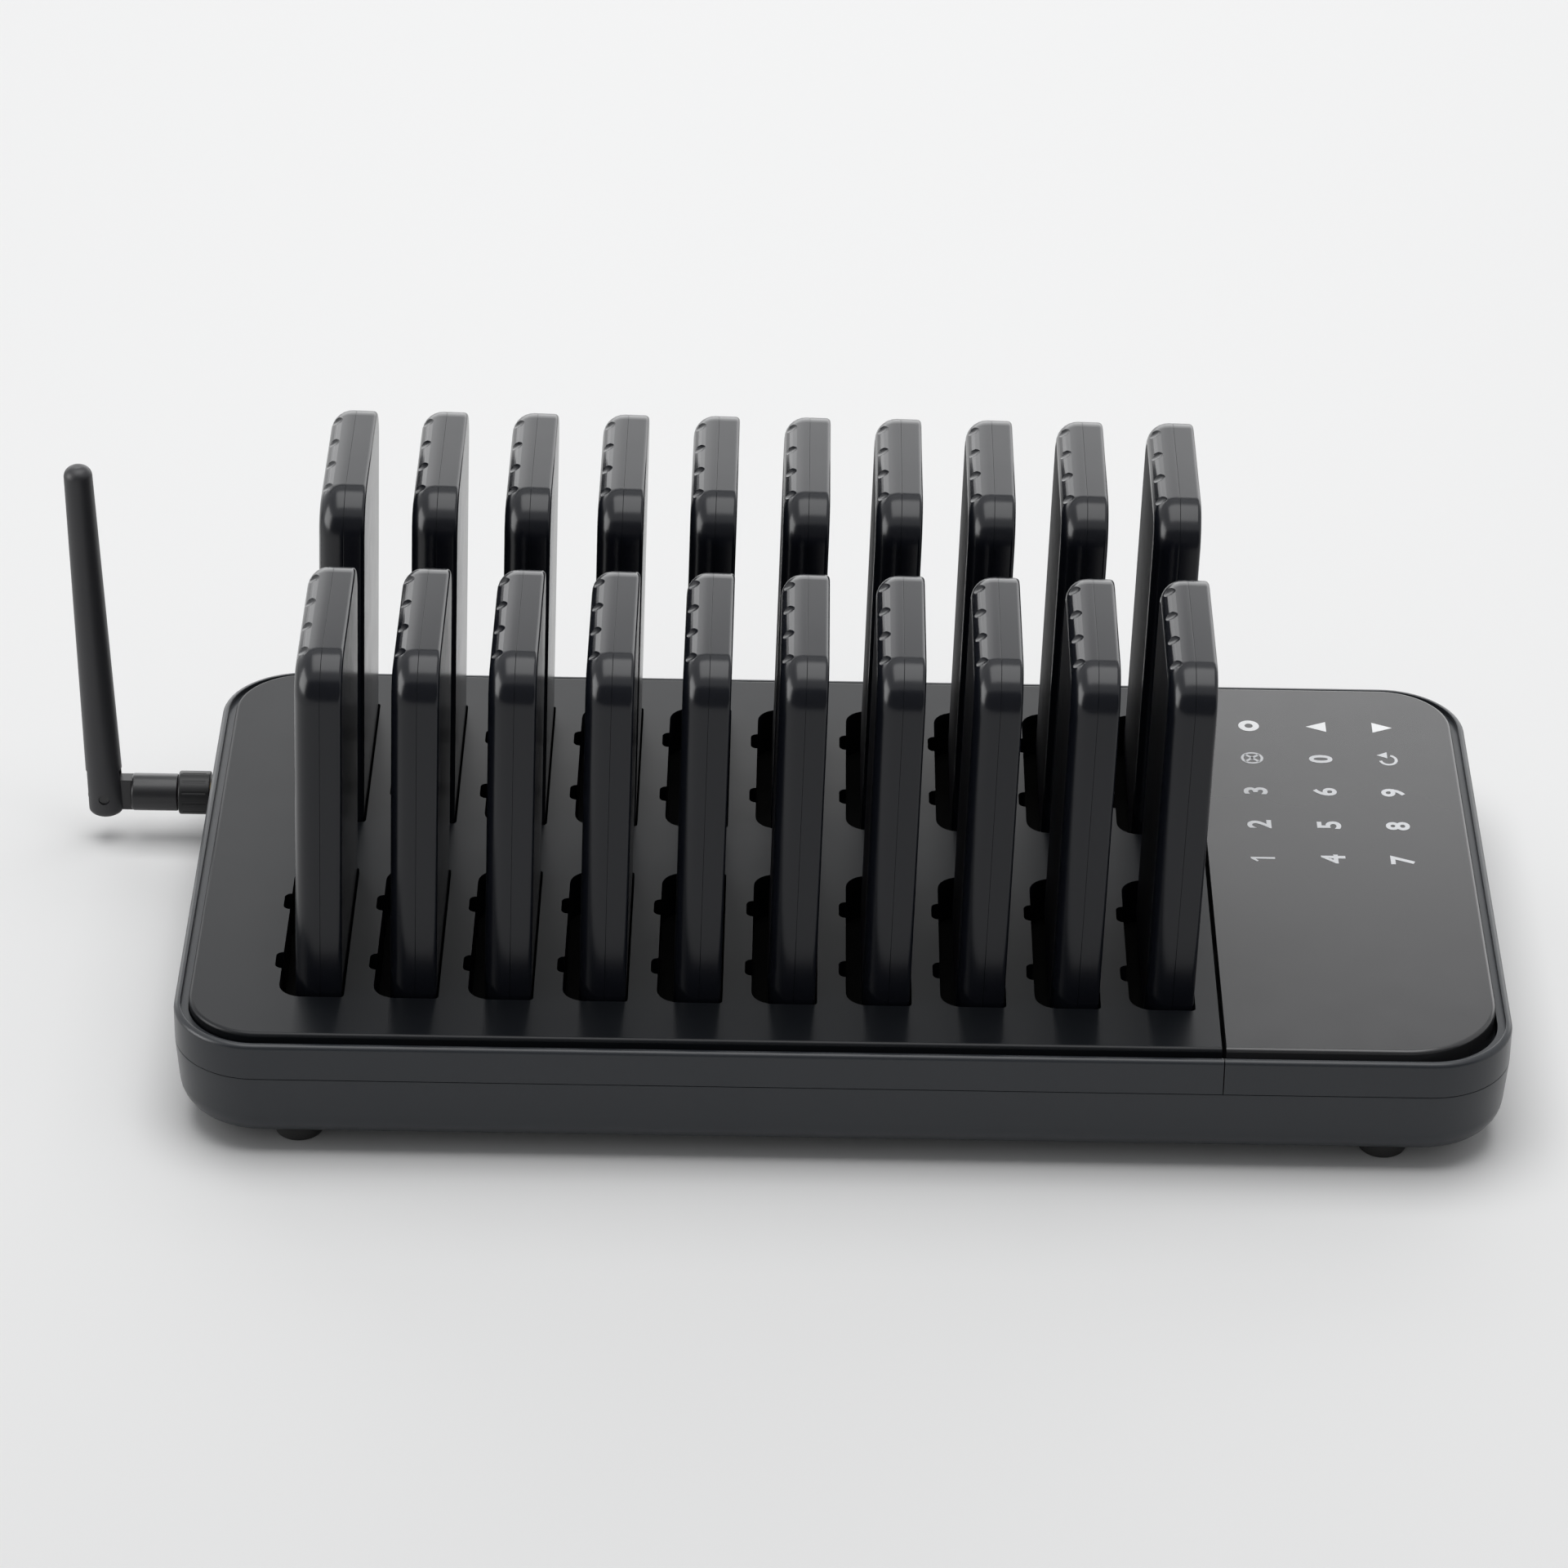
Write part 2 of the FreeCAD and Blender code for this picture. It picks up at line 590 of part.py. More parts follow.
def make_top_plate(name, keeps_left):
    # Raised plate with a skirt that stands on the frame's ledge.
    body = new_body(name)
    outline = new_sketch(body, "outline", lift="plate_underside")
    rounded_rectangle(outline, "plate", "plate_length", "plate_width", "plate_corner_radius",
                      "panel_front_radius")
    plate = pad(body, "plate", outline, "plate_thickness")
    dress(body, "Chamfer", "plate_edge", plate, at_height("plate_top"), "plate_chamfer")
    skirt = new_sketch(body, "skirt", lift="plate_underside")
    rounded_rectangle(skirt, "outer", "plate_length", "plate_width", "plate_corner_radius",
                      "panel_front_radius")
    rounded_rectangle(skirt, "inner", "plate_length - 2 * skirt_wall", "plate_width - 2 * skirt_wall",
                      "plate_corner_radius - skirt_wall", "panel_front_radius - skirt_wall")
    pad(body, "edge_skirt", skirt, "plate_underside - ledge_top", reverse=True)
    cut_at_seam(body, keeps_left)
    return body


def make_deck_plate():
    # Charging deck: the plate, two rows of wells below it and a notched slot over each well.
    body = make_top_plate("deck_plate", True)
    for side, row in (("front", "front_row"), ("back", "front_row + row_pitch")):
        block = new_sketch(body, f"{side}_wells", lift="plate_underside",
                           across="(well_left + well_right) / 2", up=row)
        rectangle(block, "wells", "well_right - well_left", "slot_length + 2 * well_wall")
        pad(body, f"{side}_well_block", block, "plate_underside - well_bottom", reverse=True)
    slot = new_sketch(body, "slot", lift="plate_top", across="first_column + slot_shift", up="front_row")
    cut_rectangle(slot, "slot", "slot_width", "slot_length", "slot_corner", "slot_left_corner")
    opening = pocket(body, "slot_opening", slot, "slot_depth")
    side_cuts = [opening]
    for side, sign in (("near", "-"), ("far", "+")):
        notch = new_sketch(body, f"{side}_notch", lift="plate_top",
                           across="first_column + slot_left_edge", up=f"front_row {sign} notch_spacing / 2")
        cut_rectangle(notch, "notch", "2 * notch_depth", "notch_width", "notch_corner")
        side_cuts.append(pocket(body, f"{side}_side_notch", notch, "slot_depth"))
        hole = new_sketch(body, f"{side}_contact_hole", lift="well_floor", across="first_column",
                          up=f"front_row {sign} contact_spacing / 2")
        rectangle(hole, "hole", "contact_width + 2 * contact_clearance",
                  "contact_length + 2 * contact_clearance")
        side_cuts.append(pocket(body, f"{side}_contact_opening", hole, "well_wall"))
    pattern(body, "slots", side_cuts, "X", "column_pitch", "column_count", ("Y", "row_pitch", "row_count"))


def make_contacts():
    # One board under each row of wells, with two studs up through the floor of every well.
    boards = new_body("contact_boards", several_solids=True)
    outline = new_sketch(boards, "outline", lift="well_bottom", across="(well_left + well_right) / 2",
                         up="front_row")
    rectangle(outline, "board", "well_right - well_left", "contact_board_width")
    board = pad(boards, "board", outline, "board_thickness", reverse=True)
    pattern(boards, "board_rows", [board], "Y", "row_pitch", "row_count")
    contacts = new_body("charging_contacts", several_solids=True)
    made = []
    for side, sign in (("near", "-"), ("far", "+")):
        blade = new_sketch(contacts, f"{side}_blade", lift="well_bottom", across="first_column",
                           up=f"front_row {sign} contact_spacing / 2")
        rectangle(blade, "blade", "contact_width", "contact_length")
        made.append(pad(contacts, f"{side}_contact", blade, "contact_tip - well_bottom"))
    pattern(contacts, "contact_rows", made, "X", "column_pitch", "column_count",
            ("Y", "row_pitch", "row_count"))


def make_keypad_electronics():
    touch = new_body("keypad_touch_board")
    outline = new_sketch(touch, "outline", lift="plate_underside",
                         across="(touch_board_left + touch_board_right) / 2",
                         up="touch_board_back - touch_board_width / 2")
    rectangle(outline, "board", "touch_board_right - touch_board_left", "touch_board_width")
    pad(touch, "board", outline, "board_thickness", reverse=True)

    board = new_body("main_board")
    outline = new_sketch(board, "outline", lift="board_top", across="main_board_x", up="main_board_y")
    rectangle(outline, "board", "main_board_length", "main_board_width")
    pad(board, "board", outline, "board_thickness", reverse=True)

    radio = new_body("radio_board")
    outline = new_sketch(radio, "outline", lift="board_top", across="radio_board_x", up="antenna_y")
    rectangle(outline, "board", "radio_board_length", "radio_board_width")
    pad(radio, "board", outline, "board_thickness", reverse=True)
    can = new_sketch(radio, "can", lift="board_top", across="radio_board_x + radio_can_shift",
                     up="antenna_y")
    rectangle(can, "can", "radio_can_length", "radio_can_width")
    pad(radio, "shield_can", can, "radio_can_height")


def make_fasteners():
    # Four screws from below through the posts into the frames' lugs; the feet cover their heads.
    screws = new_body("case_screws", several_solids=True)
    shanks = new_sketch(screws, "shanks", lift="foot_height + screw_head_recess")
    corner_circles(shanks, "screw_diameter")
    pad(screws, "shank", shanks,
        "ledge_top - pilot_floor - screw_end_gap - foot_height - screw_head_recess")
    heads = new_sketch(screws, "heads", lift="foot_height + screw_head_recess")
    corner_circles(heads, "screw_head_diameter")
    pad(screws, "head", heads, "screw_head_height", reverse=True)

    feet = new_body("rubber_feet", several_solids=True)
    pads = new_sketch(feet, "pads", lift="foot_height")
    corner_circles(pads, "foot_diameter")
    pad(feet, "foot", pads, "foot_height", reverse=True)


def make_power_inlet():
    # Barrel inlet on the main board; its round nose fills the hole in the back wall.
    body = new_body("power_inlet")
    face = "-(cavity_half_width - inlet_wall_gap)"
    block = new_sketch(body, "block", "XZ_Plane", face, "inlet_x", "inlet_axis")
    rectangle(block, "housing", "inlet_body_width", "inlet_body_height")
    pad(body, "housing", block, "inlet_body_length")
    nose = new_sketch(body, "nose", "XZ_Plane", face, "inlet_x", "inlet_axis")
    circle(nose, "nose", "inlet_nose_diameter")
    pad(body, "nose", nose, "inlet_nose_length", reverse=True)
    bore = new_sketch(body, "bore", "XZ_Plane", f"{face} - inlet_nose_length", "inlet_x", "inlet_axis")
    circle(bore, "bore", "inlet_bore")
    circle(bore, "pin", "inlet_pin_diameter")
    pocket(body, "plug_bore", bore, "inlet_bore_depth", reverse=True)


# ---- Antenna ----

def on_antenna_axis(body, distance):
    # Local +Z of the turned pieces points out of the wall, along -X.
    place(body, f"-({distance})", "antenna_y", "antenna_z", "-90")


def make_antenna_jack():
    jack = new_body("antenna_jack")
    thread = new_sketch(jack, "thread")
    circle(thread, "thread", "jack_thread")
    pad(jack, "thread", thread, "jack_thread_length")
    barrel = new_sketch(jack, "barrel")
    circle(barrel, "barrel", "jack_thread")
    pad(jack, "barrel", barrel, "jack_wall + jack_flange + jack_tail", reverse=True)
    flange = new_sketch(jack, "flange", lift="-(jack_wall)")
    hexagon(flange, "hex", "jack_hex")
    pad(jack, "flange", flange, "jack_flange", reverse=True)
    on_antenna_axis(jack, "jack_face")

    nut = new_body("antenna_jack_nut")
    outline = new_sketch(nut, "outline")
    hexagon(outline, "hex", "jack_hex")
    circle(outline, "bore", "jack_thread + 2 * screw_clearance")
    pad(nut, "nut", outline, "jack_nut_thickness")
    on_antenna_axis(nut, "jack_face")


def make_antenna_collar():
    # Knurled coupling nut, bored right through: the jack's thread at one end, the knuckle's stem at
    # the other.
    body = new_body("antenna_collar")
    outline = new_sketch(body, "outline")
    circle(outline, "outside", "collar_diameter")
    circle(outline, "bore", "jack_thread + 2 * screw_clearance")
    pad(body, "sleeve", outline, "collar_length")
    flute = new_sketch(body, "flute", across="collar_diameter / 2")
    rectangle(flute, "flute", "2 * flute_depth", "flute_width")
    groove = pocket(body, "flute_cut", flute, "collar_length", reverse=True)
    knurl = body.newObject("PartDesign::PolarPattern", "antenna_collar_knurl")
    knurl.Originals = [groove]
    knurl.Axis = (origin_item(body, "Z_Axis"), [""])
    knurl.Angle = 360
    bind(knurl, "Occurrences", "flute_count")
    body.Tip = knurl
    doc.recompute()
    on_antenna_axis(body, "collar_face")


def make_antenna_knuckle():
    # Swivelling stub with a flat tongue for the arm's fork and a stem inside the collar.
    body = new_body("antenna_knuckle")
    barrel = new_sketch(body, "barrel")
    circle(barrel, "barrel", "knuckle_diameter")
    pad(body, "barrel", barrel, "hinge_x - hinge_body_gap - knuckle_face")
    stem = new_sketch(body, "stem")
    circle(stem, "stem", "knuckle_stem_diameter")
    pad(body, "stem", stem, "knuckle_gap + knuckle_stem_length", reverse=True)
    neck = new_sketch(body, "neck", "XZ_Plane", "-tongue_thickness / 2",
                      up="hinge_x - knuckle_face - (hinge_body_gap + tongue_root) / 2")
    rectangle(neck, "neck", "2 * tongue_radius", "hinge_body_gap + tongue_root")
    pad(body, "tongue_neck", neck, "tongue_thickness")
    eye = new_sketch(body, "eye", "XZ_Plane", "-tongue_thickness / 2", up="hinge_x - knuckle_face")
    circle(eye, "eye", "2 * tongue_radius")
    pad(body, "tongue_eye", eye, "tongue_thickness")
    bore = new_sketch(body, "pin_hole", "XZ_Plane", "-tongue_thickness / 2", up="hinge_x - knuckle_face")
    circle(bore, "hole", "hinge_pin_diameter")
    pocket(body, "pin_bore", bore, "tongue_thickness", reverse=True)
    on_antenna_axis(body, "knuckle_face")

    pin = new_body("antenna_hinge_pin")
    outline = new_sketch(pin, "outline", "XZ_Plane", "hinge_pin_recess - antenna_diameter / 2")
    circle(outline, "pin", "hinge_pin_diameter")
    pad(pin, "pin", outline, "antenna_diameter - 2 * hinge_pin_recess")
    place(pin, "-(hinge_x)", "antenna_y", "antenna_z")


def make_antenna_arm():
    # Stub antenna: round arm, slightly tapered, with a bevelled tip, a fork at its foot and a cross
    # hole for the pin.
    body = new_body("antenna_arm")
    outline = new_sketch(body, "outline", lift="-antenna_foot")
    circle(outline, "arm", "antenna_diameter")
    arm = pad(body, "arm", outline, "antenna_length", taper="-antenna_taper")
    tip = dress(body, "Chamfer", "tip_edge", arm, at_height("antenna_length - antenna_foot"),
                "antenna_tip_chamfer")
    dress(body, "Chamfer", "foot_edge", tip, at_height("-antenna_foot"), "antenna_foot_chamfer")
    fork = new_sketch(body, "fork", "YZ_Plane", "-antenna_diameter",
                      up="(fork_depth - antenna_foot) / 2")
    rectangle(fork, "slot", "tongue_thickness + 2 * fork_clearance", "fork_depth + antenna_foot")
    pocket(body, "fork_slot", fork, "2 * antenna_diameter", reverse=True)
    bore = new_sketch(body, "pin_hole", "XZ_Plane", "-antenna_diameter")
    circle(bore, "hole", "hinge_pin_diameter + 2 * hinge_pin_clearance")
    pocket(body, "pin_bore", bore, "2 * antenna_diameter", reverse=True)
    place(body, "-(hinge_x)", "antenna_y", "antenna_z", "-antenna_lean")


# ---- Pagers ----

def make_cover(name, column, row, start, thickness):
    # Half of a pager: a flat shell with two rounded top corners, standing on its chamfered foot. The
    # front cover's outer face is bevelled all round.
    body = new_body(name)
    outline = new_sketch(body, "outline", "YZ_Plane", f"{start} - pager_thickness / 2",
                         up="pager_height / 2")
    rectangle(outline, "side", "pager_depth", "pager_height")
    half = pad(body, "half", outline, thickness)
    edge = number("pager_depth") / 2

    def corner_at(height):
        return lambda point: abs(point.z - height) < 1e-3 and abs(abs(point.y) - edge) < 1e-3

    rounded = dress(body, "Fillet", "top_corners", half, corner_at(number("pager_height")),
                    "pager_top_radius")
    footed = dress(body, "Chamfer", "foot_corners", rounded, corner_at(0), "pager_foot_chamfer")
    if start == "0":
        face = -number("pager_thickness") / 2
        dress(body, "Chamfer", "face_edge", footed, lambda point: abs(point.x - face) < 1e-3,
              "pager_edge_chamfer")
    place(body, f"first_column + {column} * column_pitch", f"front_row + {row} * row_pitch", "pager_seat",
          "pager_lean")


def make_pagers():
    columns = int(number("column_count"))
    for row in range(int(number("row_count"))):
        for column in range(columns):
            pager = f"pager_{row * columns + column + 1:02d}"
            make_cover(f"{pager}_front_cover", column, row, "0", "front_cover_share")
            make_cover(f"{pager}_back_cover", column, row, "front_cover_share",
                       "pager_thickness - front_cover_share")


make_lower_shell()
make_top_frame("deck_frame", True)
make_top_frame("keypad_frame", False)
make_deck_plate()
make_top_plate("keypad_panel", False)
make_contacts()
make_keypad_electronics()
make_fasteners()
make_power_inlet()
make_antenna_jack()
make_antenna_collar()
make_antenna_knuckle()
make_antenna_arm()
make_pagers()
doc.recompute()

for item in doc.Objects:
    if "Invalid" in item.State or "Error" in item.State:
        raise RuntimeError(f"{item.Name} failed: {item.State}")
for body in parts:
    if body.Shape.isNull() or not body.Shape.isValid():
        raise RuntimeError(f"{body.Label} has no valid shape")

os.makedirs("parts", exist_ok=True)
for body in parts:
    body.Shape.exportStep(f"parts/{body.Label}.step")
print(len(parts), "sub-parts written")
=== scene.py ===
import bpy
import bmesh
import math
from mathutils import Matrix, Quaternion, Vector


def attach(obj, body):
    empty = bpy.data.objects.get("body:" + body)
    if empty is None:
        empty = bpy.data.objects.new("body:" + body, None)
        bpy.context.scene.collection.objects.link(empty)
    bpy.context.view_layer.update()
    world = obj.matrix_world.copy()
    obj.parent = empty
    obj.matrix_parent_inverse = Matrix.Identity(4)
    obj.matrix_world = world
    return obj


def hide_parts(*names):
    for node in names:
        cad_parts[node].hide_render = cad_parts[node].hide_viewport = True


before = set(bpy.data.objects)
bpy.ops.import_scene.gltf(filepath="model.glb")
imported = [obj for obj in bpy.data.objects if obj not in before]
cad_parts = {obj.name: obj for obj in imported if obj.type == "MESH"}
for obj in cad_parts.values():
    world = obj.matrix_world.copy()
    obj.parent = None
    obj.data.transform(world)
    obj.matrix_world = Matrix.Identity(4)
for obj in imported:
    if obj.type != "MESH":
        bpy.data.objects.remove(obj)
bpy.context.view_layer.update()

mm = 0.001
near = 0.01  # millimetres within which a point counts as being at a place
tall = 1  # millimetres above which an edge counts as upright

# The base, its two upper frames and its two plates share these sizes, in millimetres.
base = {"length": 360, "width": 200, "corner": 23, "arcSteps": 16, "shellBottom": 5, "parting": 25.5,
        "rimTop": 36, "ledgeTop": 30, "plateTop": 37.5, "seam": 101.5, "seamGap": 0.3, "footX": 146.5,
        "footY": 85}
footPlaces = [(sideX * base["footX"], sideY * base["footY"]) for sideX in (-1, 1) for sideY in (-1, 1)]
# The antenna's swivel axis runs along X at this height and depth, and its hinge is on that axis.
antenna = {"y": 64, "z": 15.5, "hingeX": -213.5}


def leaveEdit():
    if bpy.context.object and bpy.context.object.mode != "OBJECT":
        bpy.ops.object.mode_set(mode="OBJECT")


def clearSelection():
    leaveEdit()
    bpy.ops.object.select_all(action="DESELECT")


def takeUp(piece):
    clearSelection()
    piece.select_set(True)
    bpy.context.view_layer.objects.active = piece


def editAll(piece):
    takeUp(piece)
    bpy.ops.object.mode_set(mode="EDIT")
    bpy.ops.mesh.select_all(action="SELECT")


def applyPlace():
    bpy.ops.object.transform_apply(location=True, rotation=True, scale=True)


def applyModifier(piece, kind, **settings):
    step = piece.modifiers.new(kind.title(), kind)
    for key, value in settings.items():
        setattr(step, key, value)
    bpy.ops.object.modifier_apply(modifier=step.name)


def settle(name):
    # A new primitive gets its name, and its place goes into its mesh.
    piece = bpy.context.object
    piece.name = name
    piece.data.name = name
    applyPlace()
    return piece


def addBlock(name, low, high):
    clearSelection()
    centre = [(a + b) / 2 * mm for a, b in zip(low, high)]
    bpy.ops.mesh.primitive_cube_add(size=1, location=centre, scale=[(b - a) * mm for a, b in zip(low, high)])
    return settle(name)


def addRod(name, radius, start, end, steps=48, endRadius=None):
    # A round bar between two points, tapered where its end has a radius of its own.
    clearSelection()
    start, end = Vector(start) * mm, Vector(end) * mm
    along = end - start
    last = radius if endRadius is None else endRadius
    bpy.ops.mesh.primitive_cone_add(vertices=steps, radius1=radius * mm, radius2=last * mm,
                                    depth=along.length, location=(start + end) / 2,
                                    rotation=along.to_track_quat("Z", "Y").to_euler())
    return settle(name)


def addSwivelRod(name, radius, startX, endX, steps=48):
    # A round bar on the antenna's swivel axis.
    y, z = antenna["y"], antenna["z"]
    return addRod(name, radius, (startX, y, z), (endX, y, z), steps)


def pickItems(piece, kind, test):
    # In edit mode, selects the edges or faces that pass the test.
    if bpy.context.object is not piece or piece.mode != "EDIT":
        takeUp(piece)
        bpy.ops.object.mode_set(mode="EDIT")
    bpy.ops.mesh.select_mode(type=kind)
    bpy.ops.mesh.select_all(action="DESELECT")
    shape = bmesh.from_edit_mesh(piece.data)
    found = [item for item in (shape.edges if kind == "EDGE" else shape.faces) if test(item)]
    for item in found:
        item.select_set(True)
    bmesh.update_edit_mesh(piece.data)
    if not found:
        raise RuntimeError(f"nothing picked on {piece.name}")


def cornersOf(item):
    return [corner.co / mm for corner in item.verts]


def pick(piece, kind, test):
    # Selects edges or faces by their corner points, in millimetres.
    pickItems(piece, kind, lambda item: test(cornersOf(item)))


def bevelPicked(width, steps):
    bpy.ops.mesh.bevel(offset=width * mm, segments=steps, affect="EDGES", clamp_overlap=True)


def roundEdges(piece, test, width, steps):
    pick(piece, "EDGE", test)
    bevelPicked(width, steps)


def upright(points):
    return abs(points[0].z - points[1].z) > tall and (points[0] - points[1]).xy.length < near


def levelAt(height):
    return lambda points: all(abs(point.z - height) < near for point in points)


def sideAt(x):
    return lambda points: all(abs(point.x - x) < near for point in points)


def moveUp(distance):
    bpy.ops.mesh.extrude_region_move(TRANSFORM_OT_translate={"value": (0, 0, distance * mm)})


def insetBy(distance):
    bpy.ops.mesh.inset(thickness=distance * mm, use_even_offset=True, use_boundary=True)


def combine(piece, tool, how="DIFFERENCE"):
    # Cuts or fuses one mesh with another, and takes the tool away.
    takeUp(piece)
    applyModifier(piece, "BOOLEAN", object=tool, operation=how, solver="EXACT")
    bpy.data.objects.remove(tool, do_unlink=True)


def joined(name, pieces):
    clearSelection()
    for piece in pieces:
        piece.select_set(True)
    bpy.context.view_layer.objects.active = pieces[0]
    bpy.ops.object.join()
    pieces[0].name = name
    return pieces[0]


def copyOf(piece, name):
    twin = piece.copy()
    twin.data = piece.data.copy()
    twin.name = name
    twin.data.name = name
    bpy.context.scene.collection.objects.link(twin)
    return twin


def placed(piece, move, lean=0):
    # Turns a piece about Y at the origin, moves it, and writes both into its mesh.
    takeUp(piece)
    piece.rotation_mode = "XYZ"
    piece.rotation_euler.y = math.radians(lean)
    piece.location = Vector(move) * mm
    applyPlace()
    return piece


def cleanMesh(piece):
    # Merges points that lie on each other and turns every face outwards.
    editAll(piece)
    bpy.ops.mesh.remove_doubles(threshold=near * mm)
    bpy.ops.mesh.normals_make_consistent(inside=False)
    leaveEdit()


shadingSizes = {"smoothBelow": 32, "faceWeight": 80}


def finishPiece(piece, body, material, stands=()):
    # Clean shading and one material; then the piece rides on its body.
    cleanMesh(piece)
    bpy.ops.object.shade_smooth_by_angle(angle=math.radians(shadingSizes["smoothBelow"]))
    # Flat faces keep their own normal next to small rounded edges.
    applyModifier(piece, "WEIGHTED_NORMAL", keep_sharp=True, weight=shadingSizes["faceWeight"])
    piece.data.materials.clear()
    piece.data.materials.append(material)
    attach(piece, body)
    if stands:
        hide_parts(*stands)


def dressFaces(piece, material, test):
    # The faces that pass the test get a second material.
    piece.data.materials.append(material)
    pick(piece, "FACE", test)
    piece.active_material_index = 1
    bpy.ops.object.material_slot_assign()
    leaveEdit()


def newMaterial(name):
    material = bpy.data.materials.new(name)
    material.use_nodes = True
    return material, material.node_tree.nodes, material.node_tree.links


def addNode(group, kind, **settings):
    node = group.new(kind)
    for key, value in settings.items():
        if key in node.inputs:
            node.inputs[key].default_value = value
        else:
            setattr(node, key, value)
    return node


def mixTones(group, links, texture, dark, light):
    # The shader's colour runs from dark to light with the texture.
    tone = addNode(group, "ShaderNodeMix", data_type="RGBA")
    tone.inputs["A"].default_value = (*dark, 1)
    tone.inputs["B"].default_value = (*light, 1)
    links.new(texture.outputs["Fac"], tone.inputs["Factor"])
    links.new(tone.outputs["Result"], group["Principled BSDF"].inputs["Base Color"])


def varyShine(group, links, texture, shine):
    # The shader's roughness runs over its range with the texture.
    rough = group.new("ShaderNodeMapRange")
    rough.inputs["To Min"].default_value, rough.inputs["To Max"].default_value = shine
    links.new(texture.outputs["Fac"], rough.inputs["Value"])
    links.new(rough.outputs["Result"], group["Principled BSDF"].inputs["Roughness"])


textureSizes = {"drift": 22, "driftDetail": 3, "haze": 90, "hazeDetail": 4, "grainDetail": 2,
                "grainDistance": 0.0002, "acrossLines": 60, "lineDetail": 3}


def mouldedPlastic(name, dark, light, shine, grain, grainDepth, refraction=1.45):
    # Moulding: slow colour drift, roughness that varies a little, and a fine surface grain.
    t = textureSizes
    material, group, links = newMaterial(name)
    shader = group["Principled BSDF"]
    where = group.new("ShaderNodeTexCoord")
    drift = addNode(group, "ShaderNodeTexNoise", Scale=t["drift"], Detail=t["driftDetail"])
    haze = addNode(group, "ShaderNodeTexNoise", Scale=t["haze"], Detail=t["hazeDetail"])
    pores = addNode(group, "ShaderNodeTexNoise", Scale=grain, Detail=t["grainDetail"])
    relief = addNode(group, "ShaderNodeBump", Strength=grainDepth, Distance=t["grainDistance"])
    for texture in (drift, haze, pores):
        links.new(where.outputs["Object"], texture.inputs["Vector"])
    mixTones(group, links, drift, dark, light)
    varyShine(group, links, haze, shine)
    links.new(pores.outputs["Fac"], relief.inputs["Height"])
    links.new(relief.outputs["Normal"], shader.inputs["Normal"])
    shader.inputs["IOR"].default_value = refraction
    return material


def turnedMetal(name, dark, light, shine, lineScale):
    # Plated metal: faint lines along one axis and patchy brightness.
    t = textureSizes
    material, group, links = newMaterial(name)
    where = group.new("ShaderNodeTexCoord")
    stretch = addNode(group, "ShaderNodeMapping", Scale=(lineScale, t["acrossLines"], t["acrossLines"]))
    lines = addNode(group, "ShaderNodeTexNoise", Scale=1, Detail=t["lineDetail"])
    links.new(where.outputs["Object"], stretch.inputs["Vector"])
    links.new(stretch.outputs["Vector"], lines.inputs["Vector"])
    mixTones(group, links, lines, dark, light)
    varyShine(group, links, lines, shine)
    group["Principled BSDF"].inputs["Metallic"].default_value = 1
    return material


def plainMatt(name, tone, toneSpread, mottle, roughness, specular):
    # Floor and cards: a faint mottle and next to no shine.
    material, group, links = newMaterial(name)
    shader = group["Principled BSDF"]
    shader.inputs["Roughness"].default_value = roughness
    shader.inputs["Specular IOR Level"].default_value = specular
    texture = addNode(group, "ShaderNodeTexNoise", Scale=mottle)
    mixTones(group, links, texture, (tone,) * 3, (tone + toneSpread,) * 3)
    return material


# Name, dark and light colour, range of roughness, scale and depth of the grain, refraction.
plastics = {
    "shell": ("satinShell", (0.022, 0.025, 0.030), (0.028, 0.031, 0.036), (0.26, 0.36), 2600, 0.05, 1.42),
    "deck": ("deckGloss", (0.004, 0.005, 0.007), (0.006, 0.007, 0.009), (0.36, 0.42), 1600, 0.001, 1.33),
    # Slot walls and floors: a darker, duller copy of the deck finish, which is painted shade in the slots.
    "well": ("wellPaintedShade", (0.002, 0.002, 0.002), (0.004, 0.004, 0.004), (0.60, 0.75), 1600, 0.05, 1.12),
    "keypad": ("keypadFilm", (0.028, 0.028, 0.030), (0.032, 0.032, 0.034), (0.20, 0.27), 2200, 0.001, 1.5),
    "pager": ("pagerGloss", (0.005, 0.006, 0.009), (0.007, 0.008, 0.012), (0.19, 0.26), 1200, 0.006, 1.41),
    # Broad left faces of the pagers: a rougher copy of the pager finish whose darker tone is painted shade
    # between the pagers.
    "pagerFace": ("pagerFacePaintedShade", (0.003, 0.003, 0.005), (0.005, 0.005, 0.008), (0.55, 0.65), 1200, 0.03, 1.3),
    "antenna": ("antennaRubber", (0.016, 0.016, 0.018), (0.022, 0.022, 0.024), (0.28, 0.38), 3000, 0.12),
    "arm": ("armRubber", (0.024, 0.024, 0.027), (0.030, 0.030, 0.033), (0.38, 0.48), 3000, 0.12),
    "collar": ("collarBlack", (0.010, 0.010, 0.011), (0.015, 0.015, 0.016), (0.30, 0.42), 2600, 0.10, 1.36),
    "pin": ("blackenedPin", (0.020, 0.020, 0.021), (0.032, 0.032, 0.034), (0.25, 0.40), 1500, 0.10),
    "rubber": ("footRubber", (0.020, 0.020, 0.020), (0.030, 0.030, 0.030), (0.60, 0.75), 1800, 0.30),
    "inlet": ("inletPlastic", (0.016, 0.016, 0.017), (0.024, 0.024, 0.025), (0.35, 0.50), 2200, 0.15),
    "board": ("boardMask", (0.010, 0.080, 0.035), (0.016, 0.110, 0.050), (0.30, 0.45), 900, 0.10),
    "legend": ("legendGrey", (0.60, 0.61, 0.63), (0.68, 0.69, 0.71), (0.35, 0.50), 2400, 0.05),
    "bright": ("legendWhite", (0.80, 0.81, 0.82), (0.88, 0.89, 0.90), (0.35, 0.50), 2400, 0.05),
}
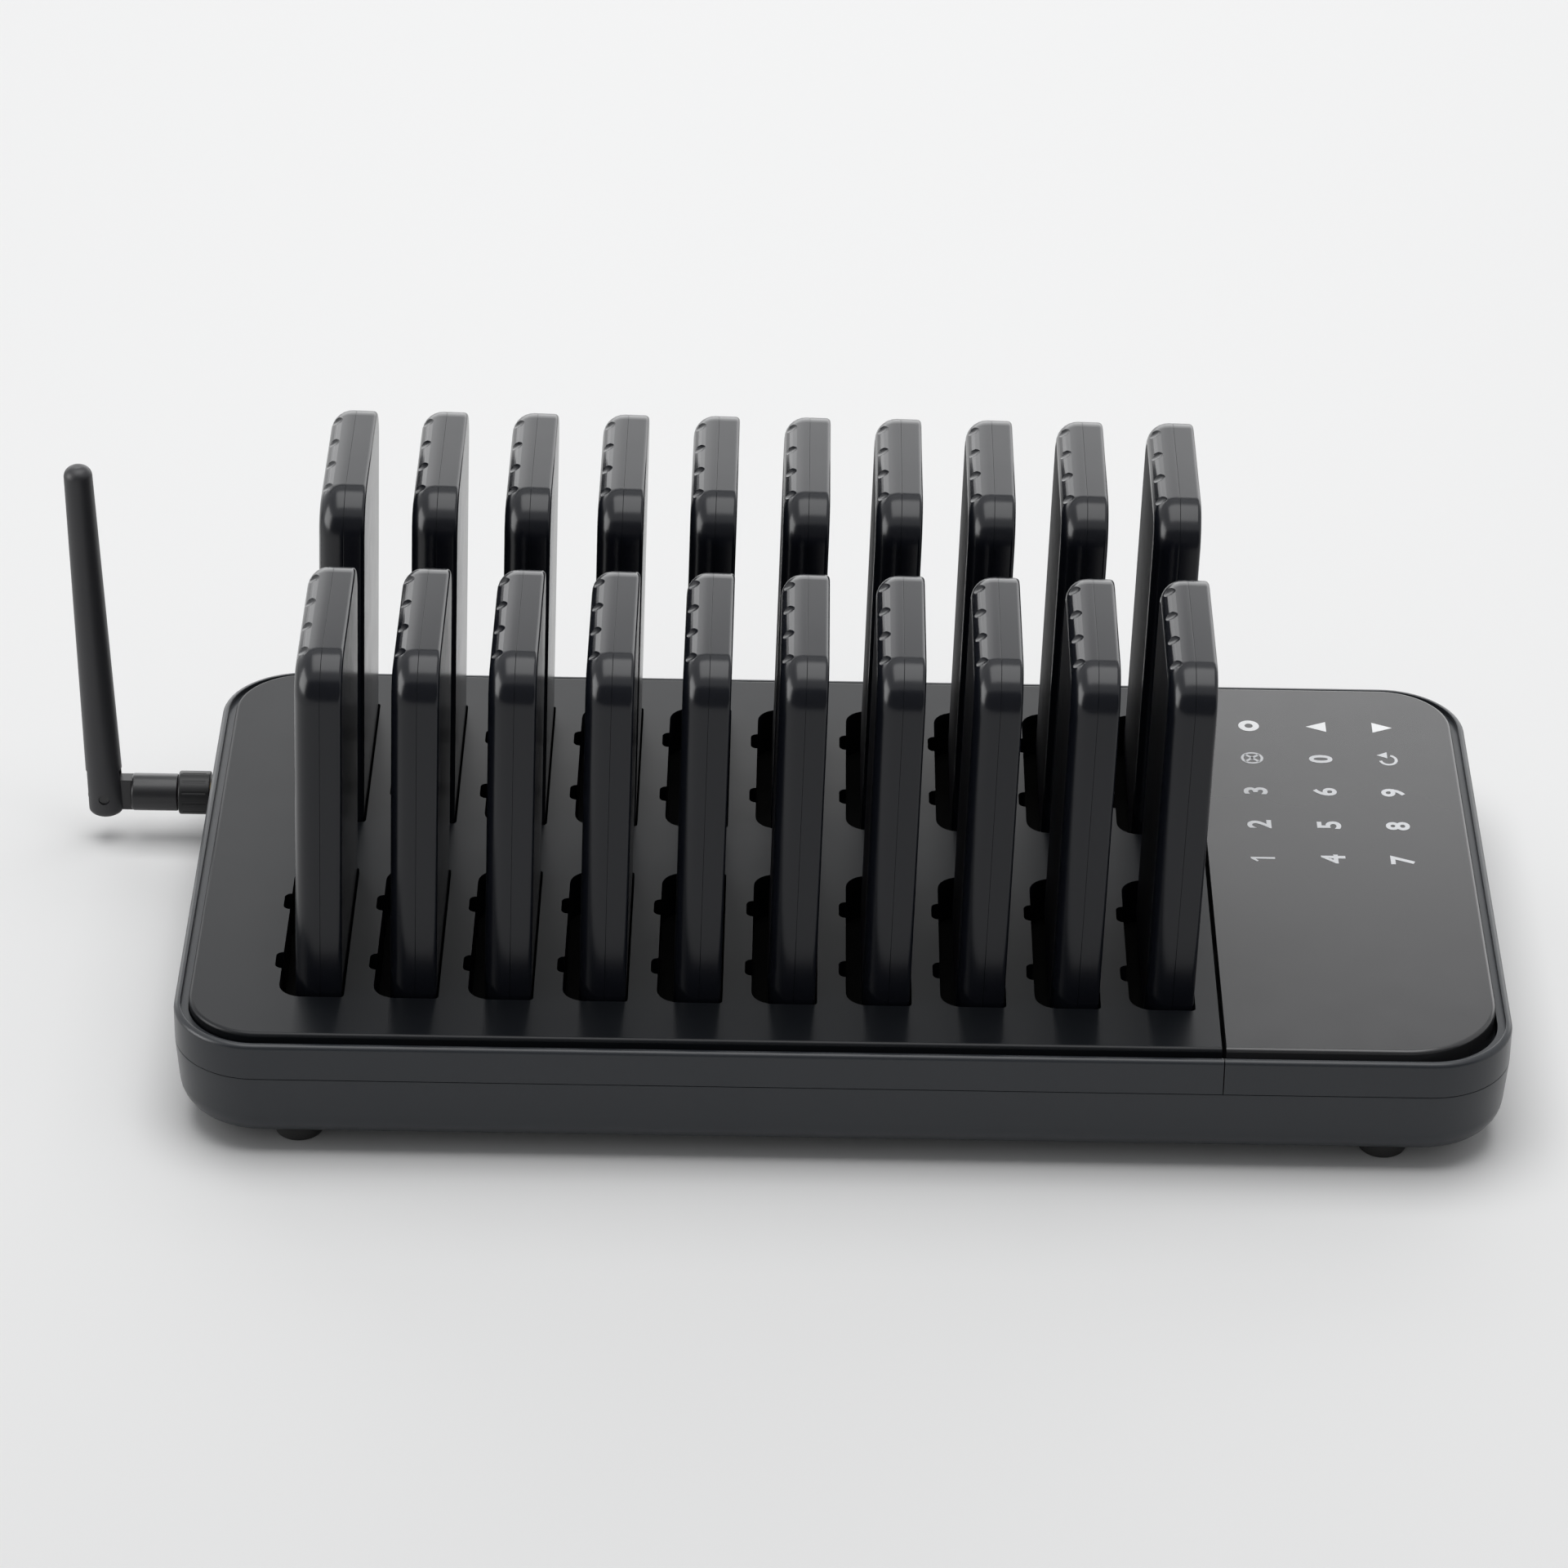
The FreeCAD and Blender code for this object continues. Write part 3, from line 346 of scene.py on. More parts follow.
# Name, dark and light colour, range of roughness, scale of the lines.
metals = {
    "gold": ("goldPlate", (0.62, 0.42, 0.14), (0.78, 0.58, 0.26), (0.22, 0.34), 900),
    "steel": ("zincSteel", (0.42, 0.42, 0.43), (0.58, 0.58, 0.60), (0.28, 0.42), 900),
}
finishes = {key: mouldedPlastic(*values) for key, values in plastics.items()}
finishes.update({key: turnedMetal(*values) for key, values in metals.items()})
print("finishes ready")


def roundedBlock(name, length, width, low, high, corner, frontRight=None):
    # A block with rounded upright corners; the front right one may have a radius of its own.
    block = addBlock(name, (-length / 2, -width / 2, low), (length / 2, width / 2, high))

    def isFrontRight(points):
        return upright(points) and points[0].x > 0 and points[0].y < 0

    def isOtherCorner(points):
        return upright(points) and not isFrontRight(points) and any(
            abs(abs(point.x) - length / 2) + abs(abs(point.y) - width / 2) < near for point in points)
    roundEdges(block, isFrontRight, frontRight or corner, base["arcSteps"])
    roundEdges(block, isOtherCorner, corner, base["arcSteps"])
    return block


shellSizes = {"draftRun": 1.43, "bottomRound": 8, "bottomSteps": 8, "partingRound": 0.4, "partingSteps": 2,
              "wall": 4.0, "floor": 2.6, "cavityChamfer": 3, "postHalf": 4, "postBottom": 6,
              "bossRadius": 7.5, "bossSides": 64, "bossRise": 0.4, "bossRoot": 3, "bossRound": 0.25,
              "bossSteps": 2, "jackHole": 3.35, "inletX": 126, "inletZ": 17.7, "inletHole": 4.6,
              "holeOutside": 2, "holeInside": 8}


def makeBaseShell():
    s = shellSizes
    wallX, wallY = base["length"] / 2, base["width"] / 2
    cavityFloor = base["shellBottom"] + s["floor"]
    shell = roundedBlock("baseShell", base["length"], base["width"], base["shellBottom"], base["parting"],
                         base["corner"])
    # The walls draw in a little towards the bottom.
    pick(shell, "FACE", levelAt(base["shellBottom"]))
    bpy.ops.transform.resize(value=(1 - 2 * s["draftRun"] / base["length"],
                                    1 - 2 * s["draftRun"] / base["width"], 1))
    roundEdges(shell, levelAt(base["shellBottom"]), s["bottomRound"], s["bottomSteps"])
    roundEdges(shell, levelAt(base["parting"]), s["partingRound"], s["partingSteps"])
    pick(shell, "FACE", levelAt(base["parting"]))
    insetBy(s["wall"])
    moveUp(cavityFloor - base["parting"])
    roundEdges(shell, levelAt(cavityFloor), s["cavityChamfer"], 1)
    # A boss round the antenna jack, and a post over each foot.
    boss = addSwivelRod("jackBoss", s["bossRadius"], -wallX - s["bossRise"], -wallX + s["bossRoot"],
                        s["bossSides"])
    roundEdges(boss, lambda points: all(point.x < -wallX for point in points), s["bossRound"], s["bossSteps"])
    combine(shell, boss, "UNION")
    for x, y in footPlaces:
        post = addBlock("post", (x - s["postHalf"], y - s["postHalf"], s["postBottom"]),
                        (x + s["postHalf"], y + s["postHalf"], base["parting"]))
        combine(shell, post, "UNION")
    combine(shell, addSwivelRod("jackHole", s["jackHole"], -wallX - s["holeOutside"],
                                -wallX + s["holeInside"]))
    combine(shell, addRod("inletHole", s["inletHole"], (s["inletX"], wallY + s["holeOutside"], s["inletZ"]),
                          (s["inletX"], wallY - s["holeInside"], s["inletZ"])))
    finishPiece(shell, "base", finishes["shell"], ("lower_shell",))
    print("base shell ready")


rimSizes = {"wall": 1.8, "grooveFloor": 34.6, "grooveWidth": 2.1, "ledgeThick": 3, "ledgeReach": 6.2,
            "outerRound": 1.35, "outerSteps": 4, "innerRound": 0.3, "innerSteps": 2, "partingRound": 0.35,
            "partingSteps": 2, "outlineBand": 0.5, "edgeFromX": 150, "edgeFromY": 90, "mergeWithin": 0.02}


def onOutline(point):
    # True on the base's rounded outline, seen from above.
    band = rimSizes["outlineBand"]
    x, y = abs(point.x), abs(point.y)
    centre = Vector((base["length"] / 2 - base["corner"], base["width"] / 2 - base["corner"]))
    if x > centre.x and y > centre.y:
        return (Vector((x, y)) - centre).length >= base["corner"] - band
    return x >= base["length"] / 2 - band or y >= base["width"] / 2 - band


def outerLoop(height):
    return lambda points: levelAt(height)(points) and all(onOutline(point) for point in points)


def innerLoop(height):
    return lambda points: levelAt(height)(points) and all(
        not onOutline(point) and
        (abs(point.x) > rimSizes["edgeFromX"] or abs(point.y) > rimSizes["edgeFromY"]) for point in points)


def cutAtSeam(piece, keepsLeft, gap=base["seamGap"]):
    # Keeps what is left or right of the seam, half the gap away from its middle.
    side = -1 if keepsLeft else 1
    editAll(piece)
    bpy.ops.mesh.bisect(plane_co=((base["seam"] + side * gap / 2) * mm, 0, 0), plane_no=(1, 0, 0),
                        use_fill=True, clear_outer=keepsLeft, clear_inner=not keepsLeft)
    leaveEdit()


def makeRim(name, keepsLeft, node):
    # An outer wall with a groove and a ledge inside it, cut off at the seam.
    s = rimSizes
    rim = roundedBlock(name, base["length"], base["width"], base["parting"], base["rimTop"], base["corner"])
    pick(rim, "FACE", levelAt(base["rimTop"]))
    insetBy(s["wall"])
    moveUp(s["grooveFloor"] - base["rimTop"])
    insetBy(s["grooveWidth"])
    moveUp(base["ledgeTop"] - s["grooveFloor"])
    insetBy(s["ledgeReach"] - s["grooveWidth"])
    moveUp(-s["ledgeThick"])
    bpy.ops.mesh.delete(type="FACE")
    # The underside is hollowed up to the ledge, and the two openings meet.
    pick(rim, "FACE", levelAt(base["parting"]))
    insetBy(s["wall"])
    moveUp(base["ledgeTop"] - s["ledgeThick"] - base["parting"])
    insetBy(s["ledgeReach"])
    bpy.ops.mesh.delete(type="FACE")
    bpy.ops.mesh.select_all(action="SELECT")
    bpy.ops.mesh.remove_doubles(threshold=s["mergeWithin"] * mm)
    roundEdges(rim, outerLoop(base["rimTop"]), s["outerRound"], s["outerSteps"])
    roundEdges(rim, innerLoop(base["rimTop"]), s["innerRound"], s["innerSteps"])
    roundEdges(rim, outerLoop(base["parting"]), s["partingRound"], s["partingSteps"])
    cutAtSeam(rim, keepsLeft)
    finishPiece(rim, "base", finishes["shell"], (node,))
    print(name, "ready")


plateSizes = {"length": 352, "width": 192, "corner": 20, "frontRight": 26, "skirt": 2, "thick": 3,
              "edgeRound": 1.1, "edgeSteps": 4, "seamGap": 1.2, "seamRound": 0.3, "seamSteps": 3}


def makeTopPlate(name, keepsLeft):
    s = plateSizes
    plate = roundedBlock(name, s["length"], s["width"], base["ledgeTop"], base["plateTop"], s["corner"],
                         s["frontRight"])
    roundEdges(plate, levelAt(base["plateTop"]), s["edgeRound"], s["edgeSteps"])
    pick(plate, "FACE", levelAt(base["ledgeTop"]))
    insetBy(s["skirt"])
    moveUp(base["plateTop"] - s["thick"] - base["ledgeTop"])
    cutAtSeam(plate, keepsLeft, s["seamGap"])
    edge = base["seam"] + (-1 if keepsLeft else 1) * s["seamGap"] / 2
    roundEdges(plate, lambda points: levelAt(base["plateTop"])(points) and sideAt(edge)(points),
               s["seamRound"], s["seamSteps"])
    return plate


slotSizes = {"firstX": -141.5, "pitch": 25.45, "columns": 10, "rows": (-44.45, 46.05), "left": 10.5,
             "right": 7.2, "halfLength": 33, "floor": 24, "leftRound": 6, "leftSteps": 6, "corner": 1,
             "cornerSteps": 3, "notchDepth": 1.9, "notchHalf": 4, "notchSpacing": 30, "notchRound": 1.85,
             "notchSteps": 5, "shoulderRound": 1.6, "shoulderSteps": 4, "contactX": 1.7, "contactY": 2.7,
             "contactSpacing": 20, "wellBottom": 22.4, "wellWall": 1.6, "wellOverlap": 0.5, "cutAbove": 2,
             "holeOver": 1, "lipRound": 0.4, "lipSteps": 3, "lipTilt": 0.05, "margin": 0.05}


def slotX(column):
    return slotSizes["firstX"] + column * slotSizes["pitch"]


def makeSlotCutter():
    # One slot with its two notches and two contact holes, made at the origin.
    s = slotSizes
    top = base["plateTop"] + s["cutAbove"]
    slot = addBlock("slotCutter", (-s["left"], -s["halfLength"], s["floor"]),
                    (s["right"], s["halfLength"], top))
    roundEdges(slot, lambda points: upright(points) and points[0].x < 0, s["leftRound"], s["leftSteps"])
    roundEdges(slot, lambda points: upright(points) and points[0].x > s["right"] - near, s["corner"],
               s["cornerSteps"])
    for side in (-1, 1):
        y = side * s["notchSpacing"] / 2
        notch = addBlock("notch", (-s["left"] - s["notchDepth"], y - s["notchHalf"], s["floor"]),
                         (0, y + s["notchHalf"], top))
        roundEdges(notch, lambda points: upright(points) and points[0].x < -s["left"], s["notchRound"],
                   s["notchSteps"])
        combine(slot, notch, "UNION")
        roundEdges(slot, lambda points: upright(points) and abs(points[0].x + s["left"]) < near and
                   abs(abs(points[0].y - y) - s["notchHalf"]) < near, s["shoulderRound"], s["shoulderSteps"])
    for side in (-1, 1):
        y = side * s["contactSpacing"] / 2
        hole = addBlock("contactHole", (-s["contactX"], y - s["contactY"], s["wellBottom"] - s["holeOver"]),
                        (s["contactX"], y + s["contactY"], s["floor"] + s["holeOver"]))
        combine(slot, hole, "UNION")
    return slot


def isSlotLip(edge):
    # An edge of the deck's top face with a slot's wall below it.
    if len(edge.link_faces) != 2 or not levelAt(base["plateTop"])(cornersOf(edge)):
        return False
    wallTilt, topTilt = sorted(abs(face.normal.z) for face in edge.link_faces)
    return wallTilt < slotSizes["lipTilt"] and topTilt > 1 - slotSizes["lipTilt"]


def insideWell(points):
    # True for the walls and floors of the slots.
    s = slotSizes
    low, high = s["wellBottom"] + 2 * s["margin"], base["plateTop"] - s["lipRound"] + s["margin"]
    reachLeft, reachRight = s["left"] + s["notchDepth"] + s["margin"], s["right"] + s["margin"]
    return all(low < point.z < high for point in points) and any(
        all(slotX(column) - reachLeft < point.x < slotX(column) + reachRight and
            abs(point.y - y) < s["halfLength"] + s["margin"] for point in points)
        for y in s["rows"] for column in range(s["columns"]))


def makeDeckPlate():
    s = slotSizes
    deck = makeTopPlate("deckPlate", True)
    cutter = makeSlotCutter()
    cutters = []
    for row, y in enumerate(s["rows"]):
        # One block below the plate holds the row's slots.
        wells = addBlock("wells", (slotX(0) - s["left"] - s["notchDepth"] - s["wellWall"],
                                   y - s["halfLength"] - s["wellWall"], s["wellBottom"]),
                         (slotX(s["columns"] - 1) + s["right"] + s["wellWall"],
                          y + s["halfLength"] + s["wellWall"],
                          base["plateTop"] - plateSizes["thick"] + s["wellOverlap"]))
        combine(deck, wells, "UNION")
        for column in range(s["columns"]):
            cutters.append(placed(copyOf(cutter, f"slotCutter{row}{column}"), (slotX(column), y, 0)))
    bpy.data.objects.remove(cutter, do_unlink=True)
    combine(deck, joined("slotCutters", cutters))
    pickItems(deck, "EDGE", isSlotLip)
    bevelPicked(s["lipRound"], s["lipSteps"])
    finishPiece(deck, "base", finishes["deck"], ("deck_plate",))
    # The slot walls and floors get the darker finish: painted shade in the slots.
    dressFaces(deck, finishes["well"], insideWell)
    print("deck plate ready")


keypadSizes = {"columns": (117.3, 137.0, 156.4), "rows": (1.4, 19.6, 37.8, 56.0, 74.2), "inkThick": 0.05,
               "digitHeight": 6.8, "digitTurn": 90, "digitBold": 0.026, "digitDepth": 0.003, "digitSteps": 4,
               "startOuter": 3.0, "startInner": 1.2, "clearRing": 3.2, "clearRingWidth": 0.75,
               "clearTurns": (45, 135), "clearBarHalf": 2.8, "clearBarHalfWidth": 0.4,
               "callRadii": (2.7, 3.0), "callSteps": 28, "callFrom": -170, "callSweep": 250,
               "callInside": (0.68, 0.72)}
keypadDigits = ((None, "2", "3"), ("4", "5", "6", "0"), ("7", "8", "9"))
# Outlines in millimetres about a sign's own middle. The top of a sign points to the left wall.
signOutlines = {
    "one": ((3.4, -0.45), (3.4, 0.45), (-3.4, 0.45), (-3.4, -0.3), (-1.7, -1.9), (-1.2, -1.5), (-2.1, -0.45)),
    "callHead": ((-0.2, 1.0), (-0.2, 4.4), (-3.2, 2.6)),
    "up": ((-3.2, 0), (2.6, -2.8), (2.6, 2.8)),
    "down": ((-3.4, 2.8), (-3.4, -2.8), (2.4, 0)),
}


def addDigit(text, x, y):
    s = keypadSizes
    clearSelection()
    bpy.ops.object.text_add(location=(0, 0, 0))
    digit = bpy.context.object
    digit.data.body = text
    digit.data.offset = s["digitBold"]
    digit.data.extrude = s["digitDepth"]
    digit.data.resolution_u = s["digitSteps"]
    bpy.ops.object.convert(target="MESH")
    digit = bpy.context.object
    corners = [Vector(corner) for corner in digit.bound_box]
    low = Vector([min(corner[i] for corner in corners) for i in range(3)])
    high = Vector([max(corner[i] for corner in corners) for i in range(3)])
    size = s["digitHeight"] * mm / (high.y - low.y)
    digit.data.transform(Matrix.Translation(-(low + high) / 2))
    digit.scale = (size, size, s["inkThick"] * mm / (high.z - low.z))
    digit.rotation_euler.z = math.radians(s["digitTurn"])
    digit.location = (x * mm, y * mm, (base["plateTop"] + s["inkThick"] / 2) * mm)
    applyPlace()
    return digit


def addSign(points, x, y, ringWidth=None):
    # A flat printed shape from its outline; with a ring width only its border is left.
    clearSelection()
    bpy.ops.mesh.primitive_circle_add(vertices=len(points), radius=1, fill_type="NGON")
    sign = bpy.context.object
    for corner, (px, py) in zip(sign.data.vertices, points):
        corner.co = Vector(((x + px) * mm, (y + py) * mm, base["plateTop"] * mm))
    editAll(sign)
    if ringWidth:
        bpy.ops.mesh.select_mode(type="FACE")
        bpy.ops.mesh.inset(thickness=ringWidth * mm)
        bpy.ops.mesh.delete(type="FACE")
        bpy.ops.mesh.select_all(action="SELECT")
    moveUp(keypadSizes["inkThick"])
    leaveEdit()
    return sign


def arcPoints(radiusX, radiusY, steps=40, start=0.0, sweep=360.0):
    return [(radiusX * math.cos(math.radians(start + sweep * step / steps)),
             radiusY * math.sin(math.radians(start + sweep * step / steps))) for step in range(steps)]


def makeKeypad():
    s = keypadSizes
    panel = makeTopPlate("keypadPanel", False)
    finishPiece(panel, "base", finishes["keypad"], ("keypad_panel",))
    signs = []
    for column, texts in zip(s["columns"], keypadDigits):
        for text, row in zip(texts, s["rows"]):
            if text:
                signs.append(addDigit(text, column, row))
    left, middle, right = s["columns"]
    first, fourth, fifth = s["rows"][0], s["rows"][3], s["rows"][4]
    signs.append(addSign(signOutlines["one"], left, first))
    # Clear: a ring with a cross.
    signs.append(addSign(arcPoints(s["clearRing"], s["clearRing"]), left, fourth, s["clearRingWidth"]))
    for turn in s["clearTurns"]:
        along = Vector((math.cos(math.radians(turn)), math.sin(math.radians(turn))))
        aside = Vector((-along.y, along.x)) * s["clearBarHalfWidth"]
        end = along * s["clearBarHalf"]
        bar = (end + aside, -end + aside, -end - aside, end - aside)
        signs.append(addSign([tuple(point) for point in bar], left, fourth))
    # Call: an arrow that turns back.
    hook = arcPoints(*s["callRadii"], s["callSteps"], s["callFrom"], s["callSweep"])
    insideX, insideY = s["callInside"]
    inside = [(px * insideX, py * insideY) for px, py in reversed(hook)]
    signs.append(addSign(hook + inside, right, fourth))
    signs.append(addSign(signOutlines["callHead"], right, fourth))
    finishPiece(joined("keypadLegends", signs), "base", finishes["legend"])
    start = arcPoints(s["startOuter"], s["startOuter"])
    topSigns = [addSign(start, left, fifth, s["startOuter"] - s["startInner"]),
                addSign(signOutlines["up"], middle, fifth), addSign(signOutlines["down"], right, fifth)]
    finishPiece(joined("keypadTopLegends", topSigns), "base", finishes["bright"])
    print("keypad ready")


footSizes = {"radius": 6.5, "height": 5, "steps": 40, "edgeRound": 0.7, "edgeSteps": 3}


def makeFeet():
    s = footSizes
    feet = []
    for x, y in footPlaces:
        feet.append(addRod("foot", s["radius"], (x, y, 0), (x, y, s["height"]), s["steps"]))
        roundEdges(feet[-1], levelAt(0), s["edgeRound"], s["edgeSteps"])
    finishPiece(joined("rubberFeet", feet), "base", finishes["rubber"], ("rubber_feet",))
    print("feet ready")


armSizes = {"radius": 5.4, "tipRadius": 4.02, "steps": 64, "length": 113, "foot": 6.5, "lean": 1.9,
            "tipRound": 3, "tipSteps": 7, "footRound": 2.4, "footSteps": 6, "forkHalf": 2.3, "forkDepth": 8,
            "cutReach": 8, "cutOver": 1, "pinHole": 1.6, "pinSteps": 32, "edgeRound": 0.3, "edgeSteps": 2,
            "edgeAngle": 50}


def makeArm():
    # Made upright with its hinge at the origin, then leaned and moved to its place.
    s = armSizes
    low, high = -s["foot"], s["length"] - s["foot"]
    arm = addRod("antennaArm", s["radius"], (0, 0, low), (0, 0, high), s["steps"], s["tipRadius"])
    roundEdges(arm, levelAt(high), s["tipRound"], s["tipSteps"])
    roundEdges(arm, levelAt(low), s["footRound"], s["footSteps"])
    combine(arm, addBlock("fork", (-s["cutReach"], -s["forkHalf"], low - s["cutOver"]),
                          (s["cutReach"], s["forkHalf"], s["forkDepth"])))
    combine(arm, addRod("pinHole", s["pinHole"], (0, -s["cutReach"], 0), (0, s["cutReach"], 0),
                        s["pinSteps"]))
    applyModifier(arm, "BEVEL", width=s["edgeRound"] * mm, segments=s["edgeSteps"],
                  angle_limit=math.radians(s["edgeAngle"]))
    placed(arm, (antenna["hingeX"], antenna["y"], antenna["z"]), -s["lean"])
    finishPiece(arm, "antenna_arm", finishes["arm"], ("antenna_arm",))


knuckleSizes = {"radius": 5.4, "steps": 64, "start": -192.4, "startRound": 0.4, "startSteps": 2,
                "end": -205.9, "endRound": 1.0, "endSteps": 4, "tongueHalf": 2, "tongueRadius": 4.9,
                "tongueRoot": 1.5, "stemRadius": 3, "stemSteps": 40, "stemSink": 0.5, "stemLength": 2.8}


def makeKnuckle():
    # A round body with a flat tongue for the hinge and a stem that turns in the collar.
    s = knuckleSizes
    x, y, z = antenna["hingeX"], antenna["y"], antenna["z"]
    knuckle = addSwivelRod("antennaKnuckle", s["radius"], s["start"], s["end"], s["steps"])
    roundEdges(knuckle, sideAt(s["end"]), s["endRound"], s["endSteps"])
    roundEdges(knuckle, sideAt(s["start"]), s["startRound"], s["startSteps"])
    tongue = addBlock("tongue", (x, y - s["tongueHalf"], z - s["tongueRadius"]),
                      (s["end"] + s["tongueRoot"], y + s["tongueHalf"], z + s["tongueRadius"]))
    eye = addRod("eye", s["tongueRadius"], (x, y - s["tongueHalf"], z), (x, y + s["tongueHalf"], z))
    combine(tongue, eye, "UNION")
    cleanMesh(tongue)  # otherwise the next fuse leaves a wall inside
    combine(knuckle, tongue, "UNION")
    combine(knuckle, addSwivelRod("stem", s["stemRadius"], s["start"] - s["stemSink"],
                                  s["start"] + s["stemLength"], s["stemSteps"]), "UNION")
    finishPiece(knuckle, "antenna_swivel", finishes["antenna"], ("antenna_knuckle",))


collarSizes = {"radius": 6.3, "steps": 96, "start": -182.9, "startRound": 0.4, "startSteps": 2,
               "end": -192.1, "endRound": 0.6, "endSteps": 3, "bore": 3.25, "boreOver": 1, "flutes": 12,
               "fluteRadius": 0.8, "fluteSteps": 16, "fluteRise": 0.62, "fluteInset": 1.2}


def makeCollar():
    s = collarSizes
    collar = addSwivelRod("antennaCollar", s["radius"], s["start"], s["end"], s["steps"])
    roundEdges(collar, sideAt(s["end"]), s["endRound"], s["endSteps"])
    roundEdges(collar, sideAt(s["start"]), s["startRound"], s["startSteps"])
    combine(collar, addSwivelRod("bore", s["bore"], s["start"] + s["boreOver"], s["end"] - s["boreOver"]))
    for flute in range(s["flutes"]):
        turn = math.radians(360 * flute / s["flutes"])
        y = antenna["y"] + (s["radius"] + s["fluteRise"]) * math.cos(turn)
        z = antenna["z"] + (s["radius"] + s["fluteRise"]) * math.sin(turn)
        combine(collar, addRod("flute", s["fluteRadius"], (s["start"] - s["fluteInset"], y, z),
                               (s["end"] + s["fluteInset"], y, z), s["fluteSteps"]))
    finishPiece(collar, "base", finishes["collar"], ("antenna_collar",))
    print("antenna ready")


pagerSizes = {"halfDepth": 32, "height": 113.4, "left": -6.4, "join": 0.6, "right": 6.4, "topRound": 11.8,
              "topSteps": 14, "footCut": 4, "leftRound": 6, "leftSteps": 7, "rightRound": 1.2,
              "rightSteps": 4, "seamRound": 0.16, "seamSteps": 2, "lean": 1.25, "seat": 25.1,
              "grips": (-19.5, -6.5, 6.5, 19.5), "gripHalf": (3.4, 7.6, 4.2), "gripDeep": 0.6,
              "gripSlant": 38, "gripSegments": 32, "gripRings": 20}


def coverBlock(name, low, high):
    # Half a pager, with a broadly rounded top at the front and back and its foot cut at an angle.
    s = pagerSizes
    cover = addBlock(name, (low, -s["halfDepth"], 0), (high, s["halfDepth"], s["height"]))

    def acrossAt(height):
        return lambda points: levelAt(height)(points) and abs(points[0].y - points[1].y) < near
    roundEdges(cover, acrossAt(s["height"]), s["topRound"], s["topSteps"])
    roundEdges(cover, acrossAt(0), s["footCut"], 1)
    return cover


def cutGrips(cover):
    # Slanted notches along the rounded left edge at the top.
    s = pagerSizes
    reach = s["leftRound"] * (1 - math.sqrt(0.5))
    halfLong, halfWide, halfDeep = s["gripHalf"]
    inward = Vector((1, 0, -1)).normalized()
    upTurn = Matrix((Vector((0, 1, 0)), Vector((1, 0, 1)).normalized(), -inward)).transposed().to_quaternion()
    slant = Quaternion((0, 0, 1), math.radians(s["gripSlant"]))
    for y in s["grips"]:
        clearSelection()
        edge = Vector((s["left"] + reach, y, s["height"] - reach))
        bpy.ops.mesh.primitive_uv_sphere_add(segments=s["gripSegments"], ring_count=s["gripRings"], radius=1)
        grip = bpy.context.object
        grip.rotation_mode = "QUATERNION"
        grip.rotation_quaternion = upTurn @ slant
        grip.scale = (halfLong * mm, halfWide * mm, halfDeep * mm)
        grip.location = (edge - inward * (halfDeep - s["gripDeep"])) * mm
        combine(cover, settle("grip"))


def broadFace(points, spot):
    # The large flat left face of a pager that stands at the spot.
    s = pagerSizes
    lean = math.radians(s["lean"])
    across = [(point.x - spot[0]) * math.cos(lean) - (point.z - spot[2]) * math.sin(lean) for point in points]
    return len(points) > 3 and all(abs(value - s["left"]) < 2 * near for value in across)


def makePagers():
    s = pagerSizes
    front = coverBlock("pagerFront", s["left"], s["join"])
    roundEdges(front, sideAt(s["left"]), s["leftRound"], s["leftSteps"])
    roundEdges(front, sideAt(s["join"]), s["seamRound"], s["seamSteps"])
    back = coverBlock("pagerBack", s["join"], s["right"])
    roundEdges(back, sideAt(s["right"]), s["rightRound"], s["rightSteps"])
    roundEdges(back, sideAt(s["join"]), s["seamRound"], s["seamSteps"])
    cutGrips(front)
    for row, y in enumerate(slotSizes["rows"]):
        for column in range(slotSizes["columns"]):
            number = row * slotSizes["columns"] + column + 1
            body = f"pager_{number:02d}"
            spot = (slotX(column), y, s["seat"])
            for half, side in ((front, "front"), (back, "back")):
                cover = placed(copyOf(half, f"pager{number:02d}{side.title()}"), spot, s["lean"])
                finishPiece(cover, body, finishes["pager"], (f"{body}_{side}_cover",))
                if side == "front":
                    # The broad left face gets the darker finish: painted shade between the pagers.
                    dressFaces(cover, finishes["pagerFace"], lambda points: broadFace(points, spot))
    bpy.data.objects.remove(front, do_unlink=True)
    bpy.data.objects.remove(back, do_unlink=True)
    print("pagers ready")


# Solids that keep their own shape and only get a finish.
keptFinishes = {
    "contact_boards": "board", "keypad_touch_board": "board", "main_board": "board", "radio_board": "board",
    "charging_contacts": "gold", "case_screws": "steel", "power_inlet": "inlet", "antenna_jack": "gold",
    "antenna_jack_nut": "steel", "antenna_hinge_pin": "pin",
}


def dressNodes():
    for name, finish in keptFinishes.items():
        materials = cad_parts[name].data.materials
        materials.clear()
        materials.append(finishes[finish])
    print("inner pieces dressed")


# The studio is in metres. A card has its y, its lower and its upper edge.
stageSizes = {"floor": 6.0, "floorTone": 0.86, "floorSpread": 0.02, "floorMottle": 3, "floorRough": 0.9,
              "floorShine": 0.1, "sky": 0.30, "skyTone": (0.98, 0.99, 1.0), "frontCard": (-0.8, 0.0, 0.84),
              "backCard": (1.62, 1.09, 1.46), "cardWidth": 4.0, "cardTone": 0.16, "cardSpread": 0.03,
              "cardMottle": 40, "cardRough": 1, "cardShine": 0}
# Power, place, aim and size of each lamp.
lampSizes = {
    "topLamp": (19.0, (-0.05, 0.06, 1.6), (-0.05, 0.0601, 0), (1.4, 1.4)),
    "backLamp": (16.2, (0.1, 1.6, 0.55), (0.1, 0, 0.55), (3.2, 1.04)),
    "sideLamp": (11.3, (-1.35, -0.30, 0.44), (0, -0.07, 0.1), (0.9, 0.8)),
}
